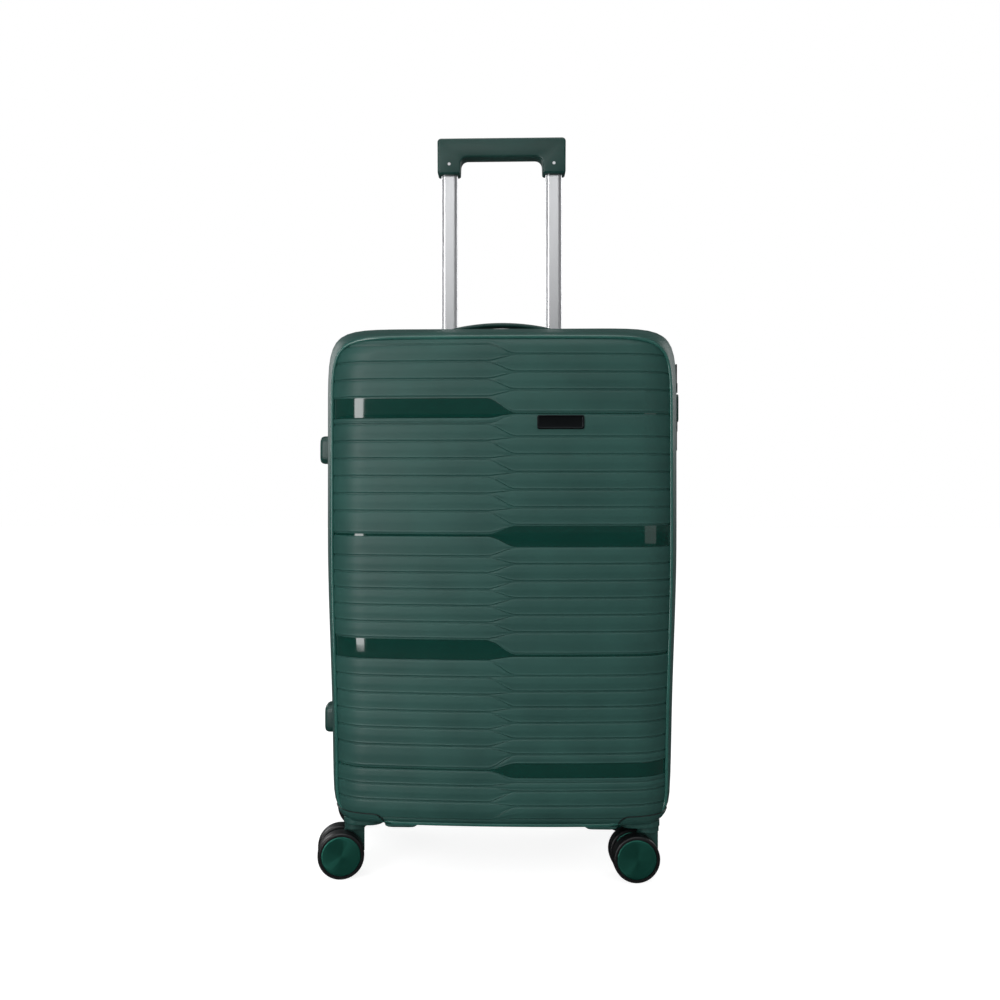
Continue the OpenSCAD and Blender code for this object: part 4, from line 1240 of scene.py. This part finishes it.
ROWS, ACROSS = 40, 60
rows = []
for k in range(ROWS + 1):
    z = pocket_low[2] + 0.5 * MM + (POCKET_TOP - pocket_low[2] - 0.5 * MM) * k / ROWS
    for j in range(ACROSS + 1):
        s = 2 * j / ACROSS - 1
        sag = 9 * MM * (1 - s * s) ** 2 * (k / ROWS) ** 3
        uneven = 1 + 0.4 * noise.noise(Vector((s * 6, 0, z * 20)))
        swell = 1.5 * MM * (1 - s ** 4) * math.sin(math.pi * k / ROWS) * uneven
        rows.append(Vector((pocket_half(z) * s, POCKET_Y - swell, z - sag)))
net = make_piece("pocket_net", (rows, net_faces(ROWS + 1, ACROSS + 1)), net_cloth, "lid", "mesh_fabric",
                 ("mesh_pocket",))
hem_path = [p.copy() for p in rows[-(ACROSS + 1):]]
for i, p in enumerate(hem_path):
    p.y += 0.8 * MM * (i % 2) * (1 if 0 < i < ACROSS else 0)
shape = sweep(hem_path, [(a * MM, b * MM) for a, b in rounded(9, 1.6, 0.7, 3)])
hem = make_piece("pocket_hem", shape, webbing, "lid", "strap_webbing", sharp=60)
net_area = sum(f.area for f in net.data.polygons)
net_cut = (2 * pocket_high[0], POCKET_TOP - pocket_low[2] + 4 * MM)
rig.sheet(net, flat=net_cut, held="stretched", rests_on=["front_lining_cloth"],
         area=min(net_area, net_cut[0] * net_cut[1]), with_pieces=[hem])

strap_low, strap_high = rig.box("cross_straps")
CROSS = Vector((0, (strap_low[1] + strap_high[1]) / 2, (strap_low[2] + strap_high[2]) / 2))
SLANT = math.atan2(257, 196)
STRAP_STEPS = 30
for i, (sx, sz) in enumerate(((1, 1), (-1, 1), (-1, -1), (1, -1))):
    way = Vector((sx * math.cos(SLANT), 0, sz * math.sin(SLANT)))
    path = [CROSS + way * (16 + 295 * k / STRAP_STEPS) * MM
            + Vector((0, 3.5 * MM * math.sin(math.pi * k / STRAP_STEPS), 0)) for k in range(STRAP_STEPS + 1)]
    shape = sweep(path, [(a * MM, b * MM) for a, b in rounded(25, 1.3, 0.6, 3)])
    make_piece(f"cross_strap_{i + 1}", shape, webbing, body_of("cross_straps"), "strap_webbing",
               ("cross_straps",) if i == 0 else (), sharp=60)
buckle_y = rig.box("strap_buckle")[1][1]
levels = [(0, 0.0), (0, 2.6), (0.5, 3.8), (1.6, 4.7), (3.0, 5.0), (6.0, 5.0), (7.2, 4.2), (9, 4.0)]
shape = stepped(levels, 46 * MM, 58 * MM, 10, 1, 6, lambda a, b, out: Vector((a, buckle_y - out, CROSS.z + b)))
make_piece("buckle_moulding", shape, black_abs, body_of("strap_buckle"), "black_plastic", ("strap_buckle",))

hinge_low, hinge_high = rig.box("fabric_hinge")
HINGE_X = (hinge_low[0] + hinge_high[0]) / 2 - 2.2 * MM
rows = []
for k in range(49):
    z = hinge_low[2] + (hinge_high[2] - hinge_low[2]) * k / 48
    for j in range(17):
        y = -5.8 * MM + 12.4 * MM * j / 16
        fold = 1.2 * MM * math.cos(math.pi * (y / (6 * MM)) / 2) if abs(y) < 6 * MM else 0
        rows.append(Vector((HINGE_X + fold + 0.2 * MM * noise.noise(Vector((y * 200, 0, z * 60))), y, z)))
strip = make_piece("hinge_strip", (rows, net_faces(49, 17)), zip_cloth, None, "zip_tape", ("fabric_hinge",))
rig.blend(strip, "case_base", "lid", start=(HINGE_X, 4 * MM, 0.36), end=(HINGE_X, -4 * MM, 0.36))
strip_area = sum(f.area for f in strip.data.polygons)
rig.sheet(strip, flat=(14 * MM, hinge_high[2] - hinge_low[2]), held="stretched", rests_on=["rear_zip", "front_zip"],
         area=min(strip_area, 0.999 * 14 * MM * (hinge_high[2] - hinge_low[2])))
print("net cut", [round(v, 3) for v in net_cut], "hinge strip", round(strip_area * 1e6), "mm2")

# %% [markdown]
# ## Finishes of the frame's own parts
# Turned and extruded parts already have their true shape in the frame. They keep it and get their real finish.

# %% Finishes of the frame's own parts
FINISHES = {
    satin_green: ["carry_handle_mounts", "lock_housing"],
    matte_shell: [corner + "_fork" for corner in CORNERS],
    black_abs: ["rear_swivel_bushings", "front_swivel_bushings", "trolley_seat", "trolley_foot_bracket"],
    anodised: ["trolley_outer_tubes", "trolley_middle_tubes", "trolley_inner_tubes"],
    zinc_steel: ["dial_shaft", "rear_rivets", "front_rivets", "grip_rivets"] + [corner + "_axle" for corner in CORNERS],
    dark_chrome: ["lock_button", "upper_zip_puller", "lower_zip_puller"],
    zip_cloth: ["rear_zip", "front_zip"],
}
for material, names in FINISHES.items():
    for name in names:
        slots = frame["nodes"][name].data.materials
        slots.clear()
        slots.append(material)
print("finished nodes:", sum(len(names) for names in FINISHES.values()))

# %% Sizes and the end
json.dump({"cad": [list(v) for v in cad_box], "visual": [list(v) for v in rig.bounds()]}, open("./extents.json", "w"))
print(open("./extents.json").read())
